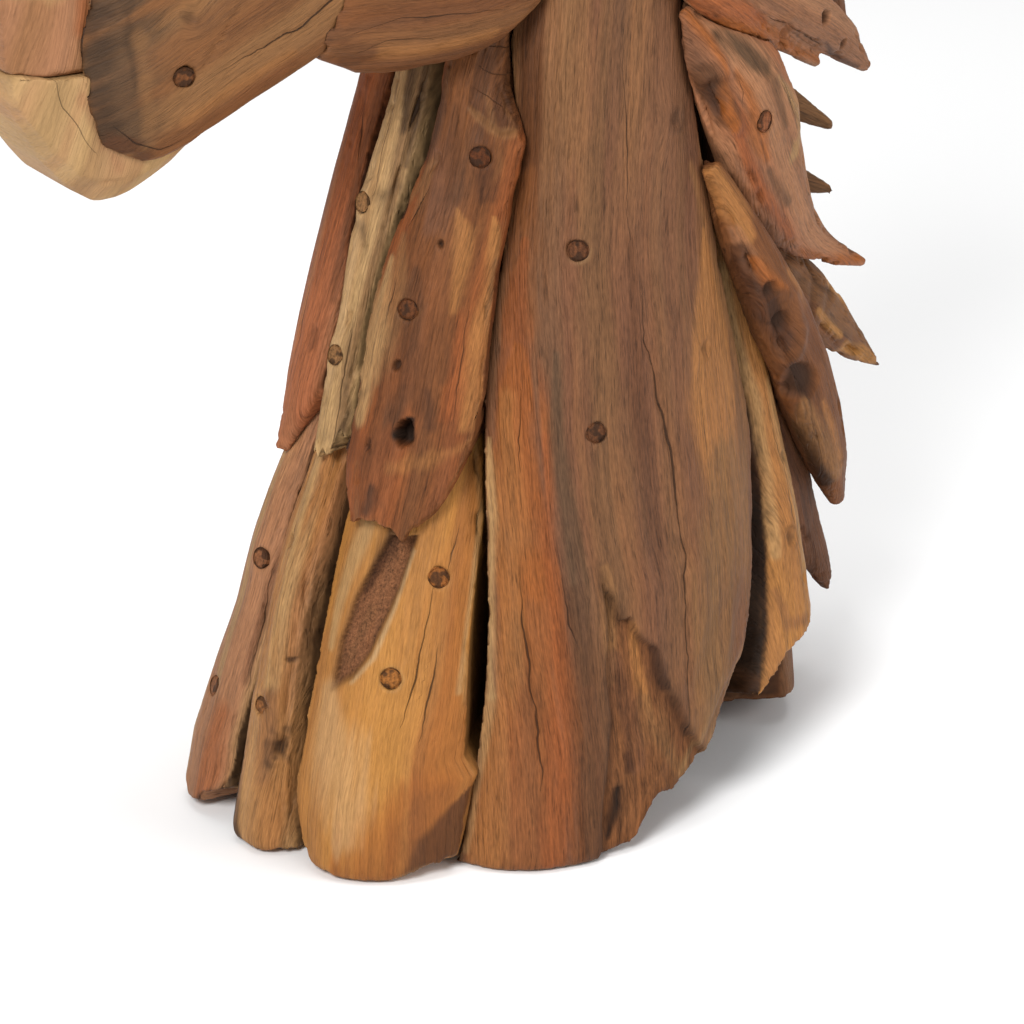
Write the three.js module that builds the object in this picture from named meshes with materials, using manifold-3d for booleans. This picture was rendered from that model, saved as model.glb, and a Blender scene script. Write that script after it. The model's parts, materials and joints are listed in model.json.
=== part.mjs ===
// Horse head sculpture put together from split teak slabs, at its real size.
// Millimetres, +Z up. The horse looks along -X and its left, or near, side is -Y.
// The origin is on the floor, under the middle of the whole sculpture's box.
import * as THREE from "three";
import Module from "manifold-3d";

const wasm = await Module();
wasm.setup();

// Driving dimensions
const FIT_GAP = 0.4; // left between two pieces where one is shaped around the other
const SEAM = 1.4; // open joint between two slabs that stand side by side
const CORE = 0.3; // the slabs reach in to this share of the neck's half width
const NOSE_X = -300; // front of the muzzle
const LIP_Z = 450; // where nose and chin meet
const PLUG_RADIUS = 5;
const PLUG_DEPTH = 9;
const PLUG_PROUD = 0.5;

// The neck's form: height, middle, half length front to back, half width side to side
const neckForm = run([
  [0, 0, 190, 150],
  [200, 17, 147, 116],
  [430, 45, 108, 82],
  [600, 72, 92, 66],
  [740, 45, 68, 50],
]);

// Teak as it is split and weathered: colour and roughness
const TEAK = {
  golden: [0xa8713f, 0.62],
  orange: [0xa9642f, 0.62],
  red: [0x8d4a2b, 0.66],
  brown: [0x74492c, 0.66],
  grey: [0x7d6148, 0.72],
  pale: [0xc39a66, 0.64],
  dark: [0x53382a, 0.76],
};

// A smooth run of values through a few rows of [place, value, ...]
function run(rows) {
  const size = rows[0].length - 1;
  const places = rows.map((row) => row[0]);
  const values = rows.flatMap((row) => row.slice(1));
  if (rows.length === 1) return () => (size === 1 ? values[0] : values);
  const spline = new THREE.CubicInterpolant(places, values, size);
  return (place) => {
    const found = Array.from(spline.evaluate(place));
    return size === 1 ? found[0] : found;
  };
}

// A closed solid from its corners and triangles
function solid(points, triangles) {
  const vertProperties = new Float32Array(points.flatMap((p) => [p.x, p.y, p.z]));
  const triVerts = new Uint32Array(triangles.flat());
  return new wasm.Manifold(new wasm.Mesh({ numProp: 3, vertProperties, triVerts }));
}

// A point on the neck at an angle round it (0 back, 90 far side, 180 front, 270 near side)
function neckPoint(angle, z, out) {
  const [middle, a, b] = neckForm(z);
  const c = Math.cos(THREE.MathUtils.degToRad(angle));
  const s = Math.sin(THREE.MathUtils.degToRad(angle));
  const normal = new THREE.Vector2(c / a, s / b).normalize();
  return new THREE.Vector3(middle + a * c + normal.x * out, b * s + normal.y * out, z);
}

// The same place drawn in towards the neck's middle line
function neckInside(angle, z, share) {
  const point = neckPoint(angle, z, 0);
  const middle = neckForm(z)[0];
  return new THREE.Vector3(middle + (point.x - middle) * share, point.y * share, z);
}

// How far a slab's face falls away towards its two long edges: [place across, mm]
const ROUNDED = [[0, -7], [0.12, -1.5], [0.5, 1.5], [0.88, -1.5], [1, -7]];

// A slab that stands in the ring of the neck, between two edges given as [height, angle],
// from a low to a high end given as [place across, height], and proud of the neck's form.
function slab(spec, grow = 0) {
  const { from, to, low, high, proud, across = ROUNDED, columns = 5, rows = 7 } = spec;
  const [fromAt, toAt, lowAt, highAt] = [from, to, low, high].map(run);
  const [proudAt, acrossAt] = [proud, across].map(run);
  const points = [];
  const place = (u, v) => {
    const z = THREE.MathUtils.lerp(Math.max(lowAt(u), 0) - grow, highAt(u) + grow, v);
    const [, a, b] = neckForm(z);
    const edge = THREE.MathUtils.radToDeg((SEAM / 2 - grow) / Math.sqrt(a * b));
    return [THREE.MathUtils.lerp(fromAt(z) + edge, toAt(z) - edge, u), z];
  };
  for (let j = 0; j <= rows; j++) {
    for (let i = 0; i <= columns; i++) {
      const u = (1 - Math.cos((Math.PI * i) / columns)) / 2;
      const [angle, z] = place(u, j / rows);
      points.push(neckPoint(angle, z, proudAt(z) + acrossAt(u) + grow));
    }
    for (const u of [0, 1]) {
      const [angle, z] = place(u, j / rows);
      points.push(neckInside(angle, z, CORE - grow / 100));
    }
  }
  const width = columns + 3;
  const outer = (i, j) => j * width + i;
  const inner = (side, j) => j * width + columns + 1 + side;
  const triangles = [];
  const quad = (a, b, c, d) => triangles.push([a, b, c], [a, c, d]);
  for (let j = 0; j < rows; j++) {
    for (let i = 0; i < columns; i++) {
      quad(outer(i, j), outer(i + 1, j), outer(i + 1, j + 1), outer(i, j + 1));
    }
    quad(outer(0, j), outer(0, j + 1), inner(0, j + 1), inner(0, j));
    quad(outer(columns, j), inner(1, j), inner(1, j + 1), outer(columns, j + 1));
    quad(inner(1, j), inner(0, j), inner(0, j + 1), inner(1, j + 1));
  }
  for (let i = 0; i < columns; i++) {
    triangles.push([inner(0, 0), outer(i + 1, 0), outer(i, 0)]);
    triangles.push([inner(0, rows), outer(i, rows), outer(i + 1, rows)]);
  }
  triangles.push([inner(0, 0), inner(1, 0), outer(columns, 0)]);
  triangles.push([inner(0, rows), outer(columns, rows), inner(1, rows)]);
  return solid(points, triangles);
}

// A shard or block drawn along a spine. Its sections are given along it as
// [share of its length, left, right, front, back], seen from the side that faces `face`.
function shard(spec, grow = 0) {
  const { spine, face, sections, power = 2.4, sides = 9, stations = 8 } = spec;
  const curve = new THREE.CatmullRomCurve3(spine.map((p) => new THREE.Vector3(...p)));
  const sectionAt = run(sections);
  const points = [];
  for (let k = 0; k <= stations; k++) {
    const t = k / stations;
    const tangent = curve.getTangentAt(t);
    const right = tangent.clone().cross(new THREE.Vector3(...face)).normalize();
    const front = right.clone().cross(tangent);
    const centre = curve.getPointAt(t);
    if (k === 0) centre.addScaledVector(tangent, -grow);
    if (k === stations) centre.addScaledVector(tangent, grow);
    const [l, r, f, b] = sectionAt(t).map((half) => half + grow);
    for (let i = 0; i < sides; i++) {
      const turn = (2 * Math.PI * i) / sides;
      const [c, s] = [Math.cos(turn), Math.sin(turn)];
      const sideways = Math.sign(c) * Math.abs(c) ** (2 / power) * (c > 0 ? r : l);
      const outwards = Math.sign(s) * Math.abs(s) ** (2 / power) * (s > 0 ? f : b);
      points.push(centre.clone().addScaledVector(right, sideways).addScaledVector(front, outwards));
    }
  }
  const at = (i, k) => k * sides + (i % sides);
  const triangles = [];
  for (let k = 0; k < stations; k++) {
    for (let i = 0; i < sides; i++) {
      triangles.push([at(i, k), at(i, k + 1), at(i + 1, k + 1)]);
      triangles.push([at(i, k), at(i + 1, k + 1), at(i + 1, k)]);
    }
  }
  for (let i = 1; i < sides - 1; i++) {
    triangles.push([at(0, 0), at(i, 0), at(i + 1, 0)]);
    triangles.push([at(0, stations), at(i + 1, stations), at(i, stations)]);
  }
  return solid(points, triangles);
}

// A cheek of the head: a side view outline of [x, z], flat at the middle of the head and
// rounded over outside, `edge` thick at its rim and `edge + crown` thick at its centre.
// `lean` narrows it towards the muzzle. side is -1 for the near cheek and 1 for the far one.
function cheek(spec, grow = 0) {
  const { outline, centre, side, edge, crown, lean = 0, inner = FIT_GAP / 2, count = 20 } = spec;
  const [cx, cz] = centre;
  const rim = new THREE.CatmullRomCurve3(
    outline.map(([x, z]) => new THREE.Vector3(x, 0, z)),
    true,
  ).getSpacedPoints(count);
  const points = [];
  const ring = (share, thick) => {
    for (let i = 0; i < count; i++) {
      const reach = Math.hypot(rim[i].x - cx, rim[i].z - cz);
      const out = share * (1 + grow / reach);
      const x = cx + (rim[i].x - cx) * out;
      points.push(new THREE.Vector3(x, side * thick(x), cz + (rim[i].z - cz) * out));
    }
  };
  const domed = (share) => (x) => edge + grow + lean * (x - cx) + crown * Math.sqrt(1 - share * share);
  const shares = [1, 0.92, 0.64];
  ring(1, () => inner - grow);
  shares.forEach((share) => ring(share, domed(share)));
  const back = points.push(new THREE.Vector3(cx, side * (inner - grow), cz)) - 1;
  const top = points.push(new THREE.Vector3(cx, side * domed(0)(cx), cz)) - 1;
  const triangles = [];
  const at = (i, k) => k * count + (i % count);
  for (let i = 0; i < count; i++) {
    triangles.push([back, at(i + 1, 0), at(i, 0)]);
    for (let k = 0; k < shares.length; k++) {
      triangles.push([at(i, k), at(i + 1, k), at(i + 1, k + 1)]);
      triangles.push([at(i, k), at(i + 1, k + 1), at(i, k + 1)]);
    }
    triangles.push([at(i, shares.length), at(i + 1, shares.length), top]);
  }
  const made = solid(points, triangles);
  return made.volume() > 0 ? made : solid(points, triangles.map(([a, b, c]) => [a, c, b]));
}

// The head, from the muzzle to the ears
const MUZZLE_OUTLINE = [
  [-250, 522], [-263, 490], [-274, 462], [-275, 434], [-265, 410], [-246, 400], [-222, 405],
  [-195, 420], [-165, 435], [-130, 457], [-110, 484], [-102, 532], [-140, 566], [-212, 562],
];
const JOWL_OUTLINE = [
  [-156, 449], [-130, 435], [-92, 431], [-58, 432], [-34, 440], [-14, 458], [0, 494], [6, 540],
  [-4, 590], [-36, 628], [-84, 640], [-128, 612], [-142, 540],
];
const BROW_OUTLINE = [
  [-236, 562], [-190, 572], [-140, 582], [-90, 590], [-30, 580], [24, 604], [50, 670],
  [38, 728], [-12, 742], [-76, 714], [-140, 664], [-206, 604],
];

function headPieces() {
  const pieces = [
    ["nose_block", "golden", (g) => shard({
      spine: [[NOSE_X, 0, LIP_Z + 1.2], [-262, 0, LIP_Z + 1.2], [-205, 0, LIP_Z + 1.2]],
      face: [0, 0, 1],
      sections: [
        [0, 20, 20, 38, 0.6], [0.08, 32, 32, 58, 0.6], [0.3, 40, 40, 86, 0.6],
        [0.65, 38, 38, 116, 0.6], [1, 36, 36, 142, 0.6],
      ],
      power: 3, sides: 10, stations: 6,
    }, g)],
    ["chin_block", "pale", (g) => shard({
      spine: [[NOSE_X + 1, 0, LIP_Z], [-255, 0, LIP_Z], [-203, 0, LIP_Z]],
      face: [0, 0, 1],
      sections: [
        [0, 26, 26, 0.4, 16], [0.1, 37, 37, 0.4, 38], [0.22, 42, 42, 0.4, 56],
        [0.42, 44, 44, 0.4, 72], [0.8, 44, 44, 0.4, 62], [1, 40, 40, 0.4, 50],
      ],
      power: 4.5, sides: 10, stations: 7,
    }, g)],
    ["forehead_slab", "brown", (g) => shard({
      spine: [[-240, 0, 563], [-165, 0, 634], [-90, 0, 700], [-14, 0, 752]],
      face: [-0.65, 0, 0.76],
      sections: [[0, 24, 24, 8, 20], [0.3, 30, 30, 13, 22], [0.7, 40, 40, 14, 22], [1, 34, 34, 8, 18]],
      power: 2.6, stations: 6,
    }, g)],
    ["poll_block", "orange", (g) => shard({
      spine: [[-16, 0, 732], [26, 0, 738], [72, 0, 726]],
      face: [0, 0, 1],
      sections: [[0, 34, 34, 20, 30], [0.5, 40, 40, 22, 40], [1, 30, 30, 8, 34]],
      power: 2.6, stations: 5,
    }, g)],
  ];
  for (const [where, side] of [["near", -1], ["far", 1]]) {
    pieces.push(
      [`ear_${where}`, side < 0 ? "orange" : "brown", (g) => shard({
        spine: [[2, side * 36, 744], [-4, side * 44, 790], [-2, side * 50, 826], [6, side * 54, 856]],
        face: [-0.86, side * 0.5, 0],
        sections: [[0, 14, 14, 9, 12], [0.35, 21, 21, 5, 13], [0.7, 15, 15, 4, 10], [1, 2.5, 2.5, 2, 3]],
        sides: 8, stations: 6,
      }, g)],
      [`muzzle_${where}`, "brown", (g) => cheek({
        outline: MUZZLE_OUTLINE, centre: [-194, 488], side, edge: 50, crown: 20, lean: 0.18, count: 18,
      }, g)],
      [`jowl_${where}`, "golden", (g) => cheek({
        outline: JOWL_OUTLINE, centre: [-70, 530], side, edge: 62, crown: 26, lean: 0.02, count: 16,
      }, g)],
      [`brow_${where}`, side < 0 ? "orange" : "grey", (g) => cheek({
        outline: BROW_OUTLINE, centre: [-78, 648], side, edge: 42, crown: 24, lean: 0.06, count: 16,
      }, g).add(shard({
        spine: [[-118, side * 60, 654], [-98, side * 66, 664], [-76, side * 62, 668]],
        face: [0, side, 0],
        sections: [[0, 3, 3, 3, 6], [0.5, 11, 10, 10, 12], [1, 3, 3, 3, 6]],
        sides: 6, stations: 4,
      }, g))],
    );
  }
  return pieces;
}

// The slabs that the neck stands on, from the front round by the near side
const FOOT_SLABS = [
  ["chest_slab_outer", "brown", {
    from: [[0, 160], [120, 160], [270, 164]],
    to: [[0, 181.3], [35, 181.8], [70, 182.3], [115, 182.2], [144, 179.9], [160, 179], [270, 177.5]],
    low: [[0, 0], [0.4, 2], [1, 10]], high: [[0, 262], [1, 256]],
    proud: [[0, 2], [40, 5], [70, 3], [110, 1], [150, 1], [200, -5], [270, -20]],
  }],
  ["chest_slab_inner", "brown", {
    from: [[0, 186.6], [35, 186], [70, 184.2], [115, 183], [144, 180.7], [160, 179.8], [270, 178.3]],
    to: [[0, 205], [20, 203], [45, 200.3], [80, 198.5], [118, 196.3], [150, 195.6], [190, 195], [270, 194]],
    low: [[0, 0], [1, 3]], high: [[0, 262], [1, 262]],
    proud: [[0, 5], [60, 7], [150, 3], [210, -6], [270, -18]],
  }],
  ["foot_slab_near", "golden", {
    from: [[0, 208.5], [20, 205], [45, 202.5], [95, 201.3], [138, 199.3], [178, 196.9], [270, 196]],
    to: [
      [0, 234], [45, 235], [75, 235.3], [84, 236.6], [95, 234.4], [130, 234.3], [165, 234.6],
      [185, 234.2], [215, 231.9], [235, 229.9], [270, 228.9],
    ],
    low: [[0, 3], [0.3, 0], [0.6, 0], [0.8, 7], [1, 10]], high: [[0, 262], [1, 262]],
    proud: [[0, 15], [50, 15], [120, 8], [180, -5], [270, -18]],
    across: [[0, -8], [0.2, 2], [0.45, 5], [0.8, -1], [1, -10]], columns: 7, rows: 9,
  }],
  ["great_slab_near", "grey", {
    from: [
      [0, 235.3], [45, 236.6], [90, 238.2], [115, 237.2], [150, 236], [185, 234.7], [215, 232.4],
      [235, 230.4], [270, 229.5], [400, 229.2], [415, 225.5], [480, 222.9], [500, 214], [560, 208],
      [660, 208],
    ],
    to: [
      [20, 280], [45, 284], [82, 294], [113, 299], [166, 303.5], [210, 305], [240, 302],
      [293, 296], [394, 285], [450, 279], [560, 274], [660, 266],
    ],
    low: [[0, 0], [0.5, 0], [0.68, 7], [0.82, 22], [1, 44]], high: [[0, 640], [1, 668]],
    proud: [[0, 8], [60, 9], [180, 6], [430, 4], [660, 2]],
    across: [[0, -14], [0.1, -6], [0.22, 3], [0.5, 5], [0.85, 2], [1, -4]], columns: 8, rows: 12,
  }],
  ["back_slab_near", "golden", {
    from: [[40, 297], [85, 304], [127, 308], [170, 310], [210, 309], [266, 304], [330, 298]],
    to: [[40, 321], [130, 323], [218, 321], [330, 316]],
    low: [[0, 50], [0.12, 60], [0.3, 67], [0.7, 75], [1, 88]], high: [[0, 330], [1, 320]],
    proud: [[40, 14], [120, 13], [220, 3], [330, -8]], rows: 8,
  }],
  ["nape_slab", "brown", {
    from: [[0, 326], [120, 325], [340, 319]], to: [[0, 392], [340, 396]],
    low: [[0, 16], [0.5, 0], [1, 0]], high: [[0, 350], [1, 350]],
    proud: [[0, -4], [120, -2], [350, -10]], rows: 4,
  }],
  ["back_slab_far", "orange", {
    from: [[0, 34], [340, 38]], to: [[0, 68], [160, 64], [340, 62]],
    low: [[0, 8], [1, 0]], high: [[0, 350], [1, 350]],
    proud: [[0, 6], [150, 6], [350, -6]], rows: 4,
  }],
  ["great_slab_far", "orange", {
    from: [[0, 70], [160, 66], [340, 64], [660, 84]],
    to: [[0, 124], [180, 126], [430, 130], [560, 150], [660, 150]],
    low: [[0, 0], [1, 0]], high: [[0, 660], [1, 640]],
    proud: [[0, 6], [200, 5], [660, 2]], columns: 6, rows: 6,
  }],
  ["foot_slab_far", "golden", {
    from: [[0, 126], [270, 128]], to: [[0, 158], [270, 162]],
    low: [[0, 0], [1, 0]], high: [[0, 258], [1, 262]],
    proud: [[0, -8], [120, -10], [200, -14], [270, -20]], columns: 4, rows: 5,
  }],
];

// The slabs of the throat and breast, which lap over the tops of those below, and the crest
const THROAT_SLABS = [
  ["breast_slab_near", "brown", {
    from: [
      [176, 204], [190, 199.5], [200, 197.5], [227, 198], [263, 197.5], [295, 197], [320, 198.5],
      [348, 201], [374, 204], [400, 205], [480, 203],
    ],
    to: [
      [176, 221], [188, 223.3], [203, 226], [212, 228.3], [233, 230.2], [275, 230.5], [331, 229.8],
      [350, 231.5], [364, 232.6], [388, 232.6], [396, 230.5], [412, 224.5], [480, 222.5],
    ],
    low: [[0, 181], [0.3, 184], [0.52, 186], [0.72, 176], [0.86, 176], [1, 188]], high: [[0, 475], [1, 475]],
    proud: [[176, 7], [200, 10], [300, 12], [400, 12], [480, 9]],
    across: [[0, -5], [0.15, 1], [0.5, 3], [0.85, 1], [1, -5]], columns: 7, rows: 9,
  }],
  ["throat_strip_near", "pale", {
    from: [[204, 186], [230, 183], [266, 184], [297, 182], [332, 179.5], [362, 180], [415, 183], [480, 184]],
    to: [[204, 198], [266, 196], [297, 195.5], [324, 197], [356, 199], [385, 201], [420, 200], [480, 200]],
    low: [[0, 210], [0.5, 209], [1, 222]], high: [[0, 475], [1, 475]],
    proud: [[210, 5], [300, 6], [480, 4]],
  }],
  ["throat_slab_red", "red", {
    from: [[200, 168], [240, 162], [320, 159], [480, 163]],
    to: [
      [200, 172], [219, 177], [238, 181], [266, 183], [297, 181], [332, 178.5], [362, 179],
      [415, 182], [480, 183],
    ],
    low: [[0, 204], [1, 199]], high: [[0, 475], [1, 475]],
    proud: [[198, 3], [260, 6], [480, 5]],
  }],
  ["throat_slab_far", "golden", {
    from: [[190, 131], [480, 131]], to: [[190, 156], [250, 158], [480, 161]],
    low: [[0, 196], [0.5, 186], [1, 206]], high: [[0, 475], [1, 475]],
    proud: [[186, -8], [300, -6], [480, -6]], columns: 4, rows: 4,
  }],
  ["crest_slab_near", "dark", {
    from: [[320, 294], [394, 286], [450, 280], [560, 275], [700, 267]], to: [[320, 359], [700, 359]],
    low: [[0, 338], [1, 344]], high: [[0, 690], [1, 705]],
    proud: [[320, -12], [500, -8], [700, -6]], columns: 4, rows: 5,
  }],
  ["crest_slab_far", "dark", {
    from: [[320, 1], [700, 1]], to: [[320, 61], [450, 64], [700, 82]],
    low: [[0, 344], [1, 344]], high: [[0, 705], [1, 690]],
    proud: [[320, -12], [500, -8], [700, -6]], columns: 4, rows: 5,
  }],
];

// Where a slab's face is at an angle round the neck and a height, and which way it looks there
function slabFace(spec, angle, z) {
  const { from, to, proud, across = ROUNDED } = spec;
  const start = run(from)(z);
  const place = (angle - start) / (run(to)(z) - start);
  return neckPoint(angle, z, run(proud)(z) + run(across)(place));
}
function slabNormal(spec, angle, z) {
  const up = slabFace(spec, angle, z + 4).sub(slabFace(spec, angle, z - 4));
  const round = slabFace(spec, angle + 1, z).sub(slabFace(spec, angle - 1, z));
  return round.cross(up).normalize();
}

// Round wooden plugs over the fastenings: slab, number, angle round the neck, height
const SLAB_PLUGS = [
  ["throat_strip_near", 1, 186.3, 344],
  ["throat_strip_near", 2, 189, 265],
  ["breast_slab_near", 1, 222, 379],
  ["breast_slab_near", 2, 210, 299],
  ["chest_slab_outer", 1, 175, 144],
  ["chest_slab_outer", 2, 170, 68],
  ["chest_slab_inner", 1, 191.5, 78],
  ["foot_slab_near", 1, 226, 157],
  ["foot_slab_near", 2, 219.5, 108],
  ["great_slab_near", 1, 249.3, 328],
  ["great_slab_near", 2, 256.2, 232],
];

function plug(face, normal, grow) {
  const root = face.clone().addScaledVector(normal, -PLUG_DEPTH);
  const end = face.clone().addScaledVector(normal, PLUG_PROUD);
  const round = [PLUG_RADIUS, PLUG_RADIUS, PLUG_RADIUS, PLUG_RADIUS];
  const sections = [[0, ...round], [1, ...round]];
  const spine = [root.toArray(), end.toArray()];
  return shard({ spine, face: [0, 0, 1], sections, power: 2, sides: 8, stations: 1 }, grow);
}

function plugs() {
  const specs = new Map([...FOOT_SLABS, ...THROAT_SLABS].map(([name, , spec]) => [name, spec]));
  const made = SLAB_PLUGS.map(([name, number, angle, z]) => {
    const spec = specs.get(name);
    const [face, normal] = [slabFace(spec, angle, z), slabNormal(spec, angle, z)];
    return [`plug_${name}_${number}`, "dark", (g) => plug(face, normal, g)];
  });
  const single = [
    ["plug_muzzle_near", [-224, -61.5, 447], [-0.18, -0.95, -0.26]],
    ["plug_mane_near_2", [106, -97.5, 377], [0.3, -0.95, 0]],
  ];
  for (const [name, at, way] of single) {
    const [face, normal] = [new THREE.Vector3(...at), new THREE.Vector3(...way).normalize()];
    made.push([name, "dark", (g) => plug(face, normal, g)]);
  }
  return made;
}

// Half widths of a mane shard from its root to its tip, as shares of its greatest half width
const LEAF = [[0, 0.55], [0.25, 0.95], [0.5, 1], [0.78, 0.62], [1, 0.12]];

// A mane shard with a leaf's outline
function leaf(spine, face, width, thick, grow) {
  const sections = LEAF.map(([t, share]) => {
    const deep = thick * (0.35 + 0.65 * share);
    return [t, width * share, width * share, deep, deep];
  });
  return shard({ spine, face, sections, sides: 6, stations: 5 }, grow);
}

const NEAR_FACE = [0.3, -0.95, 0];
const FAR_FACE = [0.3, 0.95, 0];
const REAR_FACE = [0.7, -0.5, 0.5];
const LOCK_NEAR_FACE = [-0.65, -0.25, 0.76];
const LOCK_FAR_FACE = [-0.65, 0.25, 0.76];

// Shards with a leaf's outline: wood, face, greatest half width and half thickness, spine
const LEAVES = [
  ["mane_near_4", "orange", NEAR_FACE, 25, 13,
    [[40, -76, 590], [98, -70, 552], [160, -52, 505], [212, -34, 452]]],
  ["mane_near_5", "grey", NEAR_FACE, 24, 12,
    [[44, -66, 660], [104, -58, 622], [166, -42, 578], [214, -28, 524]]],
  ["mane_near_6", "red", NEAR_FACE, 22, 11,
    [[30, -48, 722], [88, -44, 696], [146, -32, 658], [190, -22, 606]]],
  ["mane_rear_1", "dark", NEAR_FACE, 19, 11,
    [[134, -60, 206], [155, -51, 160], [180, -39, 110], [214, -23, 52]]],
  ["mane_rear_2", "grey", NEAR_FACE, 18, 11,
    [[136, -48, 290], [178, -34, 249], [223, -15, 209], [263, 0, 175]]],
  ["mane_rear_3", "brown", REAR_FACE, 20, 11,
    [[150, -6, 480], [190, 0, 450], [222, 8, 412], [242, 14, 374]]],
  ["mane_rear_4", "golden", REAR_FACE, 20, 11,
    [[148, 2, 590], [198, 2, 556], [238, 4, 508], [256, 4, 452]]],
  ["mane_rear_5", "brown", REAR_FACE, 22, 11,
    [[96, 0, 704], [156, 0, 684], [206, 2, 644], [234, 2, 586]]],
  ["mane_far_1", "grey", FAR_FACE, 22, 11,
    [[96, 86, 356], [150, 76, 320], [208, 56, 292], [258, 40, 272]]],
  ["mane_far_2", "grey", FAR_FACE, 21, 11,
    [[86, 84, 420], [146, 70, 376], [206, 52, 342], [255, 40, 312]]],
  ["mane_far_3", "brown", FAR_FACE, 24, 12,
    [[52, 80, 506], [108, 72, 468], [170, 54, 424], [220, 36, 380]]],
  ["mane_far_4", "red", FAR_FACE, 24, 12,
    [[40, 76, 594], [98, 70, 558], [160, 52, 512], [210, 34, 462]]],
  ["mane_far_5", "orange", FAR_FACE, 23, 12,
    [[44, 66, 664], [104, 58, 628], [166, 42, 584], [212, 28, 532]]],
  ["mane_far_6", "golden", FAR_FACE, 22, 11,
    [[30, 48, 724], [88, 44, 700], [146, 32, 664], [188, 22, 612]]],
  ["mane_far_7", "brown", FAR_FACE, 22, 12,
    [[104, 82, 250], [148, 76, 196], [186, 58, 146], [214, 42, 96]]],
  ["forelock_near", "red", LOCK_NEAR_FACE, 15, 8,
    [[8, -14, 768], [-36, -17, 757], [-80, -15, 722], [-112, -10, 690]]],
  ["forelock_far", "brown", LOCK_FAR_FACE, 14, 8,
    [[10, 16, 770], [-30, 18, 762], [-66, 19, 738], [-92, 17, 712]]],
];

// The mane's shards, from the withers up to the poll
function maneShards() {
  return [
    ["mane_near_1", "orange", (g) => shard({
      spine: [[71, -93, 358], [92, -95, 316], [130, -87, 250], [164, -72, 188], [195, -55, 123]],
      face: NEAR_FACE,
      sections: [
        [0, 5, 4, 8, 10], [0.2, 14, 12, 12, 14], [0.45, 19, 20, 15, 16], [0.7, 17, 18, 15, 16],
        [0.88, 12, 12, 11, 12], [1, 4, 4, 4, 4],
      ],
      stations: 7,
    }, g)],
    ["mane_near_3", "brown", (g) => shard({
      spine: [[48, -83, 492], [98, -76, 456], [140, -66, 429], [183, -50, 402], [221, -36, 372]],
      face: NEAR_FACE,
      sections: [
        [0, 20, 16, 10, 12], [0.3, 20, 20, 13, 14], [0.6, 18, 16, 12, 12], [0.82, 14, 11, 8, 8],
        [1, 4, 4, 4, 4],
      ],
      stations: 6,
    }, g).add(shard({
      spine: [[58, -89, 470], [82, -87, 448], [112, -75, 424], [150, -58, 402], [178, -47, 385]],
      face: NEAR_FACE,
      sections: [
        [0, 14, 16, 11, 12], [0.21, 12, 15, 12, 12], [0.47, 8, 8, 10, 10], [0.77, 6, 5, 6, 7],
        [1, 2.5, 3, 3, 3],
      ],
      sides: 8, stations: 6,
    }, g))],
    ["mane_near_2", "brown", (g) => shard({
      spine: [
        [66, -78, 446], [82, -84, 417], [105, -83, 385], [121, -77, 352], [144, -66, 317],
        [175, -53, 284], [220, -40, 259],
      ],
      face: NEAR_FACE,
      sections: [
        [0, 18, 16, 10, 14], [0.12, 23, 25, 13, 16], [0.28, 33, 34, 14, 16], [0.42, 31, 34, 14, 16],
        [0.6, 16, 26, 12, 13], [0.79, 10, 13, 8, 9], [1, 2.5, 3, 3, 3],
      ],
    }, g)],
    ...LEAVES.map(([name, wood, face, width, thick, spine]) => (
      [name, wood, (g) => leaf(spine, face, width, thick, g)]
    )),
  ];
}

// Each piece keeps clear of those named before it, which are cut out of it with the fit gap
function assemble(pieces) {
  const done = [];
  const meet = (a, b) => a.min.every((low, i) => low < b.max[i] && b.min[i] < a.max[i]);
  for (const [name, wood, make] of pieces) {
    let body = make(0);
    for (const other of done) {
      if (meet(body.boundingBox(), other.box)) body = body.subtract(other.cutter);
    }
    const largest = body.decompose().sort((a, b) => b.volume() - a.volume())[0];
    const cutter = make(FIT_GAP).add(make(0));
    done.push({ name, wood, body: largest, cutter, box: cutter.boundingBox() });
  }
  return done;
}

function meshOf({ name, wood, body }, shift) {
  const { vertProperties, triVerts } = body.translate(shift).getMesh();
  const geometry = new THREE.BufferGeometry();
  geometry.setAttribute("position", new THREE.BufferAttribute(vertProperties, 3));
  geometry.setIndex(new THREE.BufferAttribute(triVerts, 1));
  geometry.computeVertexNormals();
  const [color, roughness] = TEAK[wood];
  const material = new THREE.MeshStandardMaterial({ color, roughness, metalness: 0 });
  const mesh = new THREE.Mesh(geometry, material);
  mesh.name = name;
  return mesh;
}

const sculpture = new THREE.Group();
const slabs = [...FOOT_SLABS, ...THROAT_SLABS].map(([name, wood, spec]) => (
  [name, wood, (g) => slab(spec, g)]
));
const pieces = [...plugs(), ...headPieces(), ...slabs, ...maneShards()];
const made = assemble(pieces);
const boxes = made.map(({ body }) => body.boundingBox());
const middle = (i) => (Math.min(...boxes.map((b) => b.min[i])) + Math.max(...boxes.map((b) => b.max[i]))) / 2;
const shift = [-middle(0), -middle(1), 0];
for (const piece of made) sculpture.add(meshOf(piece, shift));

export default sculpture;
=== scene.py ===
# %% [markdown]
# # A horse head built from split teak
# The sculpture is put together from lengths of teak root, each split, left with its own cracks,
# stains and knots, and laid edge over edge on its neighbours. The solids give each piece its true
# place and outline. Here every solid is copied, given small even faces, carved and coloured. One
# fixed frame is loaded first, so that nothing has to be fitted by eye.

# %% Load the packed part
import json
import math

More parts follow.
